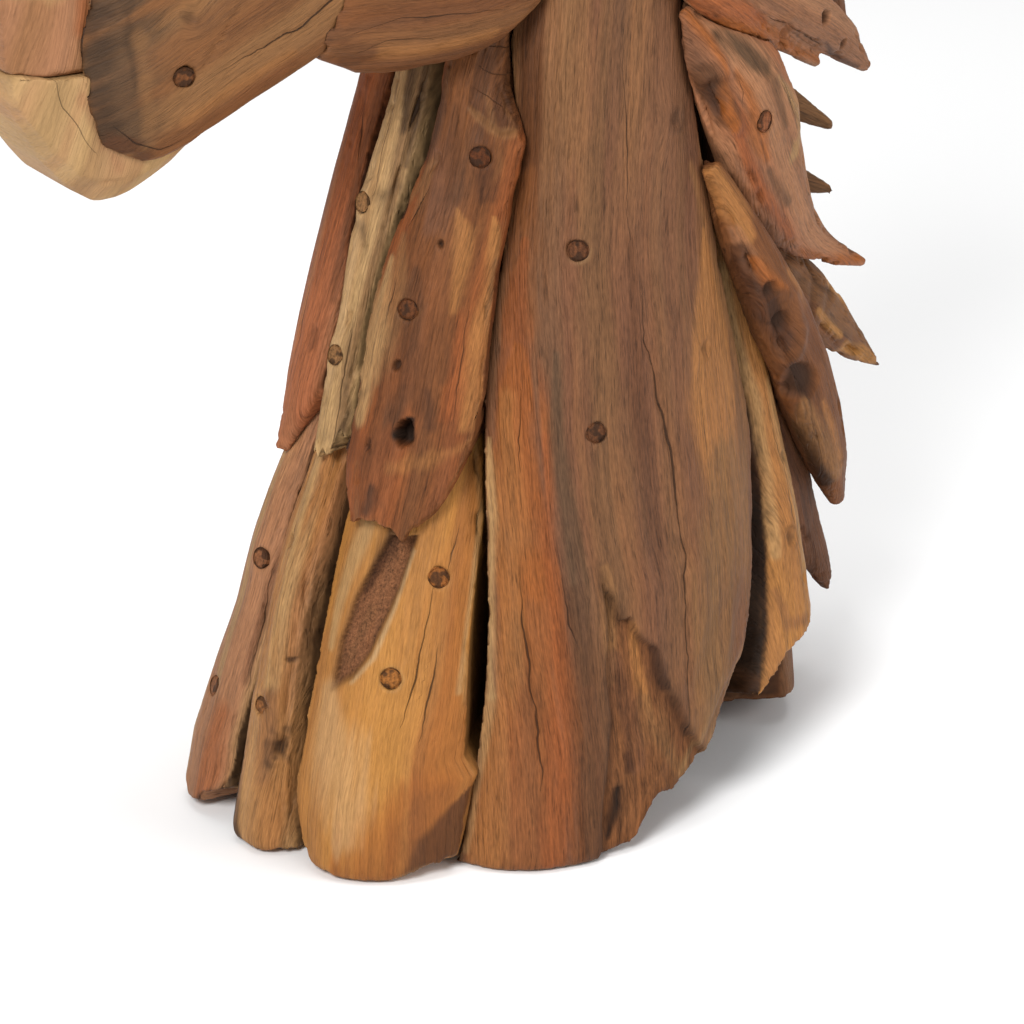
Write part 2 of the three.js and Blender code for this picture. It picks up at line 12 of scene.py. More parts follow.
import bpy
import numpy as np
from mathutils.bvhtree import BVHTree
from mathutils.kdtree import KDTree
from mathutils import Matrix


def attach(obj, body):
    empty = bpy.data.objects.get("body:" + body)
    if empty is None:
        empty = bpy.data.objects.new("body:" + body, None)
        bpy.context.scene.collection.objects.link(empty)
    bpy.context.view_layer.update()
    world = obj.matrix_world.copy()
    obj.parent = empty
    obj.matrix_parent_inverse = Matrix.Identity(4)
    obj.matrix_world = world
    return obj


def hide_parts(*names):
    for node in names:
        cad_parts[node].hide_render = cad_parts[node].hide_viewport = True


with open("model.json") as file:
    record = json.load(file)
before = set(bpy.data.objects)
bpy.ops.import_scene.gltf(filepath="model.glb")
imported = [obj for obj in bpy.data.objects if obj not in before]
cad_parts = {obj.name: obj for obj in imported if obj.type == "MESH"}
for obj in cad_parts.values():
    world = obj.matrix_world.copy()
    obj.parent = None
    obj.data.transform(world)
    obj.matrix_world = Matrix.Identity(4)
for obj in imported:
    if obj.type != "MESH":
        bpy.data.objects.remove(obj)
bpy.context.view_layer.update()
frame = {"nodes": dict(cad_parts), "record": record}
MM = 0.001

# %% [markdown]
# ## Uneven, but the same each time
# Wood that was split and weathered is uneven at every scale: long waves along the grain, short ones
# across it. A Displace modifier with a cloud texture could do it, but it can't follow a grain that
# bends with the piece. So a small value noise is worked out for all points at once, from their
# place along and across the grain. It has a fixed seed, so each run gives the same piece.

# %% Easing and noise
LATTICE = np.array([12.9898, 78.233, 37.719])
SEED_STEP = 4.17
SCATTER = 43758.5453
TRIAL_PLACES = np.array([[0.2, 0.5, 0.1], [4.0, 1.5, 2.5], [9.1, 7.3, 0.4]])


def ease(low, high, value):
    """A smooth step from 0 at the low value to 1 at the high one."""
    share = np.clip((value - low) / (high - low), 0, 1)
    return share * share * (3 - 2 * share)


def noise(places, seed):
    """Smooth noise from -1 to 1, one bump to a unit."""
    cell = np.floor(places)
    part = places - cell
    part = part * part * (3 - 2 * part)
    total = np.zeros(len(places))
    for corner in np.ndindex(2, 2, 2):
        high = np.array(corner, bool)
        wave = np.sin((cell + corner) @ LATTICE + seed * SEED_STEP) * SCATTER
        weight = np.prod(np.where(high, part, 1 - part), axis=1)
        total += weight * (2 * (wave - np.floor(wave)) - 1)
    return total


print("noise at three places:", noise(TRIAL_PLACES, 1).round(2))

# %% [markdown]
# ## From a solid to a blank
# A blank is a copy of a solid, ready to be carved. Its loose triangles are merged, a Remesh modifier
# gives it small even faces, and each point is then moved out from its flat facet to the curve that
# the smoothed normals describe, so broad faces turn round while sharp edges stay. Subdividing the
# solid instead would keep its long thin triangles, and smoothing alone would eat the thin tips.

# %% Copy, merge, remesh and round a solid
MERGE = 0.00001
BEND = 0.75
CORNER_STEP = 2.0
FAR_AWAY = 1e6


def pick_only(piece):
    bpy.ops.object.select_all(action="DESELECT")
    piece.select_set(True)
    bpy.context.view_layer.objects.active = piece


def read(items, name, width=3):
    values = np.empty(len(items) * width, np.float64 if name in ("co", "normal") else np.int32)
    items.foreach_get(name, values)
    return values.reshape(-1, width)


def arris_of(piece, sharp):
    """Points along a merged solid's sharp edges, in millimetres."""
    bpy.ops.object.mode_set(mode="EDIT")
    bpy.ops.mesh.select_all(action="SELECT")
    bpy.ops.mesh.remove_doubles(threshold=MERGE)
    bpy.ops.mesh.select_all(action="DESELECT")
    bpy.ops.mesh.select_mode(type="EDGE")
    bpy.ops.mesh.edges_select_sharp(sharpness=math.radians(sharp))
    bpy.ops.object.mode_set(mode="OBJECT")
    places = read(piece.data.vertices, "co") / MM
    points = []
    for edge in piece.data.edges:
        if edge.select:
            start, end = (places[i] for i in edge.vertices)
            count = 2 + int(np.linalg.norm(end - start) / CORNER_STEP)
            points.extend(start + (end - start) * k / (count - 1) for k in range(count))
    return points


def rounded(points, mesh, limit):
    """The points moved, up to a limit, from the facets of a solid to the curve of its smooth normals."""
    mesh.calc_loop_triangles()
    places = read(mesh.vertices, "co")
    corners = read(mesh.loop_triangles, "vertices")
    loops = read(mesh.loop_triangles, "loops")
    normals = np.array([normal.vector[:] for normal in mesh.corner_normals])[loops]
    tree = BVHTree.FromPolygons(places.tolist(), corners.tolist())
    hits = [tree.find_nearest(point) for point in points.tolist()]
    foot = np.array([hit[0][:] for hit in hits])
    facet = np.array([hit[2] for hit in hits])
    a, b, c = (places[corners[facet, k]] for k in range(3))
    whole = np.linalg.norm(np.cross(b - a, c - a), axis=1) + 1e-15
    sides = ((b, c), (c, a), (a, b))
    shares = [np.linalg.norm(np.cross(q - foot, r - foot), axis=1) / whole for q, r in sides]
    move = np.zeros_like(points)
    for k, corner in enumerate((a, b, c)):
        normal = normals[facet, k]
        height = np.sum((foot - corner) * normal, axis=1)
        move -= (BEND * np.minimum(shares[k], 1) * height)[:, None] * normal
    length = np.linalg.norm(move, axis=1)
    return points + move * (limit * MM / np.maximum(length, limit * MM))[:, None]


def blank(node, voxel, sharp, limit):
    """An evenly meshed copy of a solid, and each point's distance from the nearest sharp edge."""
    piece = bpy.data.objects.new(f"wood_{node}", frame["nodes"][node].data.copy())
    bpy.context.collection.objects.link(piece)
    pick_only(piece)
    piece.data.materials.clear()
    edge_points = arris_of(piece, sharp)
    bpy.ops.object.shade_smooth_by_angle(angle=math.radians(sharp))
    faceted = piece.data.copy()
    remesh = piece.modifiers.new("even faces", "REMESH")
    remesh.mode = "VOXEL"
    remesh.voxel_size = voxel * MM
    bpy.ops.object.modifier_apply(modifier=remesh.name)
    moved = rounded(read(piece.data.vertices, "co"), faceted, limit)
    piece.data.vertices.foreach_set("co", moved.ravel())
    bpy.data.meshes.remove(faceted)
    soften = piece.modifiers.new("soften", "SMOOTH")
    soften.iterations = 1
    bpy.ops.object.modifier_apply(modifier=soften.name)
    tree = KDTree(max(1, len(edge_points)))
    for k, point in enumerate(edge_points or [(FAR_AWAY, 0, 0)]):
        tree.insert(point, k)
    tree.balance()
    places = read(piece.data.vertices, "co") / MM
    return piece, np.array([tree.find(place)[2] for place in places.tolist()])


print("facets in the solids:", sum(len(item.data.polygons) for item in frame["nodes"].values()))

# %% [markdown]
# ## A piece of timber and its chart
# To draw a crack or a stain, each piece needs a chart, as a globe has: for the neck's slabs it is
# the angle round the neck and the height, for the head and mane the side view. The grain has
# coordinates of its own, across, along and into the wood, which follow the way the piece runs. A UV
# map could hold the chart, but it would need seams, and these pieces are seen from all sides.

# %% The neck's form and the Timber class
NECK_HEIGHT = [0, 200, 430, 600, 740]
NECK_MIDDLE = [17.4, 34.4, 62.4, 89.4, 62.4]
NECK_LONG = [190, 147, 108, 92, 68]
NECK_WIDE = [150, 116, 82, 66, 50]
NECK_ASIDE = 2.3
HIDDEN_DEPTH = 16
HIDDEN_TILT = -0.85
CHART_CELL = 5
UNCRACKED = 50.0
SPINE_STATIONS = 11


def neck_at(heights):
    """The neck's middle, half length and half width at these heights."""
    return [np.interp(heights, NECK_HEIGHT, row) for row in (NECK_MIDDLE, NECK_LONG, NECK_WIDE)]


class Timber:
    """One piece of wood while it is carved and coloured, in millimetres."""

    def __init__(self, node, voxel=1.6, sharp=30, seed=1, limit=1.0):
        self.node = node
        self.seed = seed
        self.piece, self.arris = blank(node, voxel, sharp, limit)
        self.place = read(self.piece.data.vertices, "co") / MM
        self.normal = read(self.piece.data.vertices, "normal")
        count = len(self.place)
        self.lift = np.zeros(count)
        self.dark = np.zeros(count)
        self.coarse = np.zeros(count)
        self.bark = np.zeros(count)
        self.crack = np.full(count, UNCRACKED)
        self.gape = np.full(count, -1.0)
        self.calm = np.ones(count)
        self.plain = np.zeros(count)
        self.hidden = np.zeros(count, bool)
        self.tint = np.zeros((count, 3))

    def on_neck(self, guide):
        """A slab's chart, with the grain beside a guide line of (angle, height)."""
        x, y, z = self.place.T
        middle, long, wide = neck_at(z)
        east, north = (x - middle) / long, (y - NECK_ASIDE) / wide
        centre = np.mean([angle for angle, _ in guide])
        turn = np.degrees(np.arctan2(north, east))
        turn = (turn - centre + 180) % 360 - 180 + centre
        size = np.sqrt(long * wide)
        self.zero, self.pitch = 180, np.mean(size) * math.pi / 180
        self.chart = np.column_stack([(turn - self.zero) * self.pitch, z])
        guide_angle = np.interp(z, [h for _, h in guide][::-1], [g for g, _ in guide][::-1])
        across = np.radians(turn - guide_angle) * size
        self.grain = np.column_stack([across, z, np.hypot(east, north) * size])
        out = np.column_stack([east / long, north / wide, np.zeros(len(z))])
        self.out = out / np.linalg.norm(out, axis=1)[:, None]
        self.tilt = np.sum(self.out * self.normal, axis=1)
        self.face = ease(0.2, 0.6, self.tilt)
        cells = np.round(self.chart / CHART_CELL).astype(int)
        cells -= cells.min(axis=0)
        cell = cells[:, 0] * (cells[:, 1].max() + 1) + cells[:, 1]
        outermost = np.zeros(cell.max() + 1)
        np.maximum.at(outermost, cell, self.grain[:, 2])
        self.within = outermost[cell] - self.grain[:, 2]
        self.hidden = self.within > HIDDEN_DEPTH
        self.grain[:, 0] += 2.6 * noise(self.place / (60, 60, 75), self.seed + 5)
        self.grain[:, 0] += 1.0 * noise(self.place / (22, 22, 34), self.seed + 6)
        return self

    def in_side_view(self, along=None, near=True):
        """The head's and the mane's chart: x and z, with the grain along an axis or the piece's own spine."""
        x, y, z = self.place.T
        self.zero, self.pitch = 0, 1
        self.chart = np.column_stack([x, z])
        middle = self.place.mean(axis=0)
        axes = np.linalg.svd(self.place[::9] - middle, full_matrices=False)[2]
        if along is not None:
            lead = np.array(along) / np.linalg.norm(along)
            axes = np.array([lead, np.cross(lead, (0, 1, 0)), (0, 1, 0)])
        run = (self.place - middle) @ axes[0]
        stations = np.linspace(run.min(), run.max(), SPINE_STATIONS)
        reach = stations[1] - stations[0]
        spine = np.array([self.place[np.abs(run - s) <= reach].mean(axis=0) for s in stations])
        if along is not None:
            spine = middle + np.outer(stations, axes[0])
        beside = self.place - np.column_stack([np.interp(run, stations, column) for column in spine.T])
        self.grain = np.column_stack([beside @ axes[1], run, beside @ axes[2]])
        self.out = self.normal
        self.tilt = -self.normal[:, 1] if near else self.normal[:, 1]
        self.face = ease(-0.1, 0.3, self.tilt)
        if self.node.startswith(("muzzle", "jowl", "brow")):
            self.hidden = self.tilt < HIDDEN_TILT
        self.grain[:, 0] += 2.6 * noise(self.place / 55, self.seed + 5)
        self.grain[:, 0] += 0.7 * noise(self.place / 28, self.seed + 6)
        return self

    def to_line(self, line):
        """Distance to a line of (place, height, half width), its side and the half width there."""
        points = np.array(line, float)
        points[:, 0] = (points[:, 0] - self.zero) * self.pitch
        best = np.full(len(self.chart), 1e9)
        width, side = np.zeros_like(best), np.ones_like(best)
        for start, end in zip(points[:-1], points[1:]):
            step = end[:2] - start[:2]
            gap = self.chart - start[:2]
            share = np.clip(gap @ step / (step @ step), 0, 1)
            away = gap - share[:, None] * step
            distance = np.hypot(*away.T)
            nearer = distance < best
            best = np.where(nearer, distance, best)
            width = np.where(nearer, start[2] + share * (end[2] - start[2]), width)
            side = np.where(nearer, np.where(step[0] * away[:, 1] - step[1] * away[:, 0] > 0, -1, 1), side)
        return best, side, np.maximum(width, 0.01)

    def inside(self, outline):
        """How far inside an outline of (place, height) each point is, less than 0 outside."""
        points = np.array(outline, float)
        points[:, 0] = (points[:, 0] - self.zero) * self.pitch
        x, z = self.chart.T
        odd = np.zeros(len(x), bool)
        distance = np.full(len(x), 1e9)
        for start, end in zip(points, np.roll(points, -1, axis=0)):
            step = end - start
            share = np.clip((self.chart - start) @ step / (step @ step), 0, 1)
            distance = np.minimum(distance, np.hypot(*(self.chart - start - share[:, None] * step).T))
            crosses = (start[1] > z) != (end[1] > z)
            rise = step[1] if step[1] else 1e-9
            odd ^= crosses & (x < start[0] + (z - start[1]) * step[0] / rise)
        return np.where(odd, distance, -distance)


print("chart ready; neck at 300 mm:", [round(float(v), 1) for v in neck_at(300)])

# %% [markdown]
# ## Carving tools
# On the real slabs nothing was carved to a drawing: the split left long ripples, the edges are worn
# and chipped, and the wood has opened along its grain. Each tool below adds to one depth per point,
# and the depths are applied together along the normals. Sculpt brushes would do the same by hand,
# but they need a window.

# %% Weathering, cracks, hollows, knots and recesses
def weather(wood, waves=1.0, chips=1.0):
    broad = noise(wood.place / 40, wood.seed)
    ripple = noise(wood.grain / (12, 190, 60), wood.seed + 1)
    comb = noise(wood.grain / (4.2, 100, 40), wood.seed + 2)
    wood.lift += wood.calm * waves * (0.7 * broad + 0.6 * ripple + 0.22 * comb - 0.6)
    bite = ease(0.25, 0.8, noise(wood.place / (9, 9, 15), wood.seed + 3))
    nick = ease(0.3, 0.8, noise(wood.place / 4.5, wood.seed + 4))
    near = (1 - ease(0.0, 6.0, wood.arris)) ** 2
    wood.lift -= wood.calm * chips * near * (2.2 * bite + 0.8 * nick + 0.2)


def crack(wood, line, deep=2.0):
    distance, side, half = wood.to_line(line)
    wander = 1.1 * noise(wood.grain / (30, 11, 30), wood.seed + 11)
    wander += 0.5 * noise(wood.grain / (30, 4, 30), wood.seed + 10)
    signed = distance * side + wander
    distance = np.abs(signed)
    half = 0.5 * half * (0.75 + 0.6 * noise(wood.grain / (60, 13, 60), wood.seed + 15))
    nearer = distance < np.abs(wood.crack)
    wood.crack = np.where(nearer, signed, wood.crack)
    wood.gape = np.where(nearer, half - ease(3, 6, distance) * (half + 1), wood.gape)
    wood.lift -= deep * wood.face * np.exp(-((distance / (half + 1.1)) ** 2)) * ease(0.02, 0.3, half)


def hollow(wood, place, height, radius, deep, tall=1.0, black=0.9, rim=0.5):
    x, z = (wood.chart - ((place - wood.zero) * wood.pitch, height)).T
    distance = np.hypot(x, z / tall) / radius + 0.22 * noise(wood.place / (radius * 0.8), wood.seed + 12)
    # The pit is darkened as painted shade; on a knot hole this also stands for the knot's own dark wood.
    pit = wood.face * (1 - ease(rim, 1.0, distance))
    wood.lift -= deep * pit
    wood.dark = np.maximum(wood.dark, black * pit)


def knot(wood, place, height, radius, tall=1.5, black=0.55):
    x, z = (wood.chart - ((place - wood.zero) * wood.pitch, height)).T
    distance = np.hypot(x, z / tall) / radius
    wood.grain[:, 0] += radius * 1.1 * np.tanh(x / radius) * np.exp(-((distance / 2.4) ** 2))
    ring = np.exp(-(((distance - 1.0) / 0.28) ** 2)) * ease(-0.4, 0.5, noise(wood.place / 4, wood.seed + 9))
    core = 1 - ease(0.2, 0.95, distance + 0.3 * noise(wood.place / 2.6, wood.seed + 13))
    wood.lift += wood.face * (0.6 * ring - 1.2 * core)
    wood.dark = np.maximum(wood.dark, black * wood.face * np.maximum(0.75 * ring, core))


def recess(wood, outline, deep, bank=3.0, ragged=2.0):
    """A hollowed area with a bank of that width; gives back its cover."""
    depth_in = wood.inside(outline) + ragged * noise(wood.grain / (6, 26, 40), wood.seed + 14)
    skin = 1 - ease(2, 16, wood.within)
    cover = skin * ease(0, bank, depth_in)
    wood.place -= wood.out * (deep * cover)[:, None]
    # The bank is darkened along its middle as painted shade, more where the recess is deep.
    rim = skin * np.exp(-(((depth_in - 0.5 * bank) / (0.7 * bank)) ** 2))
    wood.dark = np.maximum(wood.dark, 0.5 * rim * ease(1.5, 5.0, deep))
    return cover


def gnarl(wood, deep=2.5, size=17.0):
    """Knobs and creases, as on wood from near the root, the creases darkened as painted shade."""
    place = wood.place / (size, size, size * 1.4) + 0.5 * noise(wood.place / size, wood.seed + 16)[:, None]
    crease = 1 - ease(0.0, 0.34, np.abs(noise(place, wood.seed + 17)))
    some = ease(-0.1, 0.4, noise(wood.place / (2.6 * size), wood.seed + 18))
    wood.lift += wood.calm * deep * (0.6 * noise(place * 0.7, wood.seed + 19) - some * crease)
    wood.dark = np.maximum(wood.dark, 0.75 * wood.calm * some * crease ** 2)


def worn_foot(wood, radius=11):
    """Rounds a slab's outer edge where it stands on the floor."""
    below = np.clip(radius - wood.place[:, 2], 0, radius)
    pull = radius - np.sqrt(radius * radius - below * below)
    wood.place -= wood.out * (0.75 * pull * (1 - ease(0, 40, wood.within)))[:, None]


def ragged_end(wood, deep, size=7.0, first=-999.0, last=999.0, reach=26.0):
    """Breaks the lower end into teeth between two places of the chart."""
    across, height = wood.chart.T
    bins = np.round(across / 2.5).astype(int)
    bins -= bins.min()
    lowest = np.full(bins.max() + 1, 1e9)
    np.minimum.at(lowest, bins, height)
    above = height - lowest[bins]
    row = np.column_stack([across / size, wood.place[:, 1] / 40, np.zeros(len(across))])
    tooth = 0.45 + 0.7 * noise(row, wood.seed + 26) + 0.4 * noise(row * 2.7, wood.seed + 27)
    turn = across / wood.pitch + wood.zero
    within = ease(first, first + 3, turn) * (1 - ease(last - 3, last, turn))
    wood.place[:, 2] += deep * np.clip(tooth, 0, 1.2) * within * (1 - ease(0, reach, above))


def shove(wood, line, reach, inward=False):
    """Pushes a slab's edge round the neck or into it, from a line of (angle, height, push)."""
    distance, _, push = wood.to_line(line)
    way = np.column_stack([-wood.out[:, 1], wood.out[:, 0], np.zeros(len(push))])
    if inward:
        way = -wood.out
    wood.place += way * (push * (1 - ease(0.15 * reach, reach, distance)))[:, None]


def ridge(wood, line, high):
    distance, _, half = wood.to_line(line)
    wood.lift += high * wood.face * np.exp(-((distance / half) ** 2))


TOOLS = (weather, crack, hollow, knot, recess, gnarl, worn_foot, ragged_end, shove, ridge)
print("carving tools:", ", ".join(tool.__name__ for tool in TOOLS))

# %% [markdown]
# ## Colours laid on like stain
# One teak root runs from cream sapwood to orange heartwood, and weather adds grey, plum and black.
# Near black is also painted as shade in holes, gaps and on sides turned from the light, and some pale
# strokes are painted highlight.
# The broad streaks are brushed onto the points, each from a line with a width at every point of it,
# and the shader adds the fine grain. A ramp across the slab could hold the same colours, but the
# streaks bend and end where they like, which strokes can follow.

# %% Palette and brush
# The near-black stain that follows char is painted shade, put into deep holes and gashes, into the gaps
# between pieces and on sides turned from the light.
STAINS = {
    "cream": "c9ab86", "straw": "b89a72", "honey": "bd8a4c", "gold": "a9784a", "tan": "8f6a49",
    "orange": "a0602f", "rust": "97552f", "red": "a4684a", "brown": "7a4f31", "umber": "5d3c27",
    "plum": "75513f", "rose": "a97d62", "ash": "785840", "slate": "5a4636", "olive": "856445",
    "bark": "8a6049", "coffee": "4a2f22", "char": "33261d", "pit": "1f1108", "chestnut": "6f4529",
}
DAYLIGHT = np.array([0.77, 0.68, 0.54])


def linear(code):
    parts = np.array([int(code[k:k + 2], 16) for k in (0, 2, 4)]) / 255
    return np.where(parts <= 0.04045, parts / 12.92, ((parts + 0.055) / 1.055) ** 2.4)


PAINT = {name: linear(code) * DAYLIGHT for name, code in STAINS.items()}


def cover_with(wood, stain, cover):
    wood.tint += (PAINT[stain] - wood.tint) * np.clip(cover, 0, 1)[:, None]


def ground(wood, stain, second, third):
    """A first coat: one stain, streaked along the grain with two more."""
    wood.tint[:] = PAINT[stain]
    cover_with(wood, second, 0.6 * ease(-0.3, 0.6, noise(wood.grain / (13, 210, 90), wood.seed + 21)))
    cover_with(wood, third, 0.5 * ease(0.0, 0.7, noise(wood.grain / (7, 150, 60), wood.seed + 22)))


def brush(wood, stain, line, strength=0.85, ragged=0.5, inner=0.2):
    distance, _, half = wood.to_line(line)
    edge = noise(wood.grain / (5, 60, 50), wood.seed + 23)
    edge += 0.6 * noise(wood.grain / (2.4, 26, 30), wood.seed + 24)
    cover = 1 - ease(inner, 1.25, distance / half + ragged * edge)
    cover_with(wood, stain, strength * wood.face * cover)


def paint_shade_on_sides(wood, stain="pit", strength=0.9, turn=0.45):
    """Paints shade on the faces that look less than so far out of the piece, as sides in gaps and sides
    turned from the light lie in shadow.
    """
    below = ease(0.02, 0.25, -wood.normal[:, 2])
    cover_with(wood, stain, strength * (1 - ease(turn - 0.4, turn, wood.tilt)) * (1 - below))


def pale_edges(wood, stain="straw", strength=0.45, reach=3.5):
    patchy = ease(-0.3, 0.5, noise(wood.place / 21, wood.seed + 25))
    cover_with(wood, stain, strength * patchy * (1 - ease(0.5, reach, wood.arris)) * wood.face)


print("stains:", ", ".join(STAINS))

# %% [markdown]
# ## Shader values that can be added up
# A shader is a web of nodes, and wood needs many of them, for pores, streaks and cracks. They could
# be laid out one by one, but the thought behind them would be lost. One small class stands for a
# value in the web, so that a sum of noises can be written as a sum.

# %% A wrapper for sockets
class Socket:
    """A shader value that takes part in Python sums."""

    def __init__(self, tree, socket):
        self.tree = tree
        self.socket = socket

    def node(self, kind, settings=None, output=0, **values):
        made = self.tree.nodes.new(kind)
        for name, value in (settings or {}).items():
            setattr(made, name, value)
        for name, value in values.items():
            slot = made.inputs[int(name[1:])] if name[1:].isdigit() else made.inputs[name.replace("_", " ")]
            if isinstance(value, Socket):
                self.tree.links.new(value.socket, slot)
            else:
                slot.default_value = value
        return Socket(self.tree, made.outputs[output])

    def math(self, operation, other=0.0, third=0.0, clamp=False):
        settings = {"operation": operation, "use_clamp": clamp}
        return self.node("ShaderNodeMath", settings, i0=self, i1=other, i2=third)

    def __add__(self, other):
        return self.math("ADD", other)

    def __mul__(self, other):
        return self.math("MULTIPLY", other)

    def __sub__(self, other):
        return self.math("SUBTRACT", other)

    def __rsub__(self, other):
        return (self * -1.0) + other

    __radd__ = __add__
    __rmul__ = __mul__

    def between(self, low, high):
        settings = {"interpolation_type": "SMOOTHSTEP"}
        return self.node("ShaderNodeMapRange", settings, Value=self, From_Min=low, From_Max=high)

    def stretched(self, across, along, into=8.0):
        """These grain coordinates with one unit to that many millimetres, and changing slowly inward."""
        settings = {"operation": "MULTIPLY"}
        scale = (1 / across, 1 / along, 1 / (across * into))
        return self.node("ShaderNodeVectorMath", settings, i0=self, i1=scale)

    def cloud(self, detail=2.0, roughness=0.55):
        values = {"Scale": 1.0, "Detail": detail, "Roughness": roughness}
        return self.node("ShaderNodeTexNoise", None, Vector=self, **values)

    def dimmed(self, amount):
        """This colour times a value."""
        return self.node("ShaderNodeVectorMath", {"operation": "SCALE"}, i0=self, Scale=amount)

    def toward(self, colour, share):
        settings = {"data_type": "RGBA"}
        return self.node("ShaderNodeMix", settings, 2, i0=share, i6=self, i7=colour)


def attribute(tree, name, output):
    made = tree.nodes.new("ShaderNodeAttribute")
    made.attribute_name = name
    return Socket(tree, made.outputs[output])


print("a shader value can be:", ", ".join(name for name in vars(Socket) if not name.startswith("_")))

# %% [markdown]
# ## The teak finish
# Teak is oily and close grained: fine dark pores run as short dashes along it, over soft streaks,
# with a satin sheen where it was rubbed down. The shader takes the brushed colour and multiplies it
# by noises stretched along the grain. Cracks are drawn from a signed distance, so that they stay
# thin and sharp between the points of the mesh. A picture of wood would be easier, but its grain
# couldn't bend with each piece.

# %% The teak material
CRACK_BROWN = (0.024, 0.011, 0.005, 1)
# The brown for the dark attribute: the own dark wood of knots, and painted shade in hollows, creases and at
# recess banks.
KNOT_AND_SHADE_BROWN = (0.030, 0.016, 0.010, 1)
WARM_STREAK = (0.22, 0.075, 0.022, 1)
COOL_STREAK = (0.10, 0.062, 0.038, 1)
BUMP_REACH = 0.0011
DRY_SHINE = 0.16
SCALARS = ("dark", "coarse", "bark", "plain", "crack", "gape")


def new_finish(slot):
    """A material, its nodes and its shader, with the dull shine of dry wood."""
    material = bpy.data.materials.new(slot)
    material.use_nodes = True
    shader = material.node_tree.nodes["Principled BSDF"]
    shader.inputs["Specular IOR Level"].default_value = DRY_SHINE
    return material, material.node_tree, shader


def teak(slot, sheen, figure, flecks):
    material, tree, shader = new_finish(slot)
    grain = attribute(tree, "grain", "Vector")
    tint = attribute(tree, "tint", "Color")
    dark, coarse, bark, plain, crack_way, gape = (attribute(tree, name, "Fac") for name in SCALARS)
    fine = grain.stretched(1.0, 60).cloud(2.0, 0.55)
    fuzz = grain.stretched(0.55, 5).cloud(1.0)
    dashes = grain.stretched(1.0, 15).cloud(2.0).between(0.59, 0.68)
    thread = grain.stretched(2.9, 150).cloud(2.0, 0.5)
    streak = grain.stretched(8, 260).cloud(2.0)
    pores = grain.stretched(0.8, 26).cloud(1.0).between(0.58, 0.74)
    seam = (grain.stretched(5.5, 150).cloud(2.0) - 0.5).math("ABSOLUTE").between(0.045, 0.0)
    drift = grain.stretched(38, 190).cloud(1.0)
    depth = grain.node("ShaderNodeSeparateXYZ", None, 2, Vector=grain)
    side = grain.node("ShaderNodeSeparateXYZ", None, 0, Vector=grain)
    rings = (side * 0.55 + depth * 0.75 + drift * 58.0).math("SINE").between(0.35, 1.0)
    light = (fine - 0.5) * 0.9 + (fuzz - 0.5) * 0.9 + (thread - 0.5) * 0.35 + (streak - 0.5) * 0.4 + 1.04
    light = light - dashes * flecks - pores * 0.18 - seam * 0.1 - rings * (0.12 * figure)
    light = (light - 1.0) * (1.0 - plain) + 1.0
    fibre = grain.stretched(2.2, 26, 2.0).cloud(3.0, 0.7)
    light = light + coarse * ((fibre - 0.5) * 1.8 - 0.08)
    speck = grain.stretched(1.6, 1.6, 1.0).cloud(3.0, 0.75)
    light = light + bark * ((speck - 0.5) * 2.6 - 0.05)
    line = (gape - crack_way.math("ABSOLUTE")).between(-0.3, 0.2)
    cool = grain.stretched(16, 300).cloud(1.0).between(0.5, 0.7)
    colour = tint.toward(WARM_STREAK, streak.between(0.5, 0.72) * 0.14)
    colour = colour.toward(COOL_STREAK, cool * 0.16)
    colour = colour.dimmed(light.math("MAXIMUM", 0.25))
    # Knots darken here by their own colour; hollows, creases and recess banks darken as painted shade.
    colour = colour.toward(KNOT_AND_SHADE_BROWN, dark * (0.45 + fine * 0.8))
    colour = colour.toward(CRACK_BROWN, line * 0.85)
    rough = (fine - 0.5) * 0.3 + dark * 0.2 + coarse * 0.2 + bark * 0.3 + (1.0 - sheen) * 0.4 + 0.36
    height = fine * 0.7 + thread * 0.5 - dashes * 0.5 - pores * 0.3 - seam * 0.35 - line * 2.0
    height = height + coarse * fibre * 2.4 + bark * speck * 2.0
    normal = height.node("ShaderNodeBump", None, Strength=0.5, Distance=BUMP_REACH, Height=height)
    tree.links.new(colour.socket, shader.inputs["Base Color"])
    tree.links.new(rough.math("ADD", 0.0, clamp=True).socket, shader.inputs["Roughness"])
    tree.links.new(normal.socket, shader.inputs["Normal"])
    return material


SHEEN_FIGURE_FLECKS = {
    "teak_golden": (0.5, 0.45, 0.07), "teak_orange": (0.5, 0.3, 0.14), "teak_red": (0.45, 0.2, 0.12),
    "teak_brown": (0.45, 0.4, 0.2), "teak_grey": (0.5, 0.4, 0.24), "teak_pale": (0.4, 0.3, 0.08),
    "teak_dark": (0.3, 0.3, 0.2),
}
FINISH = {slot: teak(slot, *values) for slot, values in SHEEN_FIGURE_FLECKS.items()}
SLOT_OF = {row["node"]: row["material_slot"] for row in frame["record"]["subparts"]}
print("finishes:", ", ".join(FINISH))

# %% [markdown]
# ## Giving a piece back
# On the real sculpture a slab's inner faces are hidden once it is in place. So a finished piece
# takes its carved points, keeps the grain and the colours as attributes of its own mesh, and loses
# most of the faces that its neighbours hide: a Decimate modifier, held to a group of points, leaves
# the outer faces as they are. A coarser remesh would save as much, but blur what shows.

# %% Finish a piece
made = {}
PLUG_NODES = [name for name in frame["nodes"] if name.startswith("plug_")]
PLUG_PLACES = [read(frame["nodes"][name].data.vertices, "co").mean(axis=0) / MM for name in PLUG_NODES]
PLUG_CALM = 7.0
PLUG_CLEAR = 15.0
THINNED = 0.93
GRAIN_APART = 61.0
FIELD = {"FLOAT": "value", "FLOAT_VECTOR": "vector", "FLOAT_COLOR": "color"}
beside_plug = {}


def spare_plugs(wood):
    """Keeps the carving calm round each plug."""
    for place in PLUG_PLACES:
        wood.calm *= ease(PLUG_CALM, PLUG_CLEAR, np.linalg.norm(wood.place - place, axis=1))


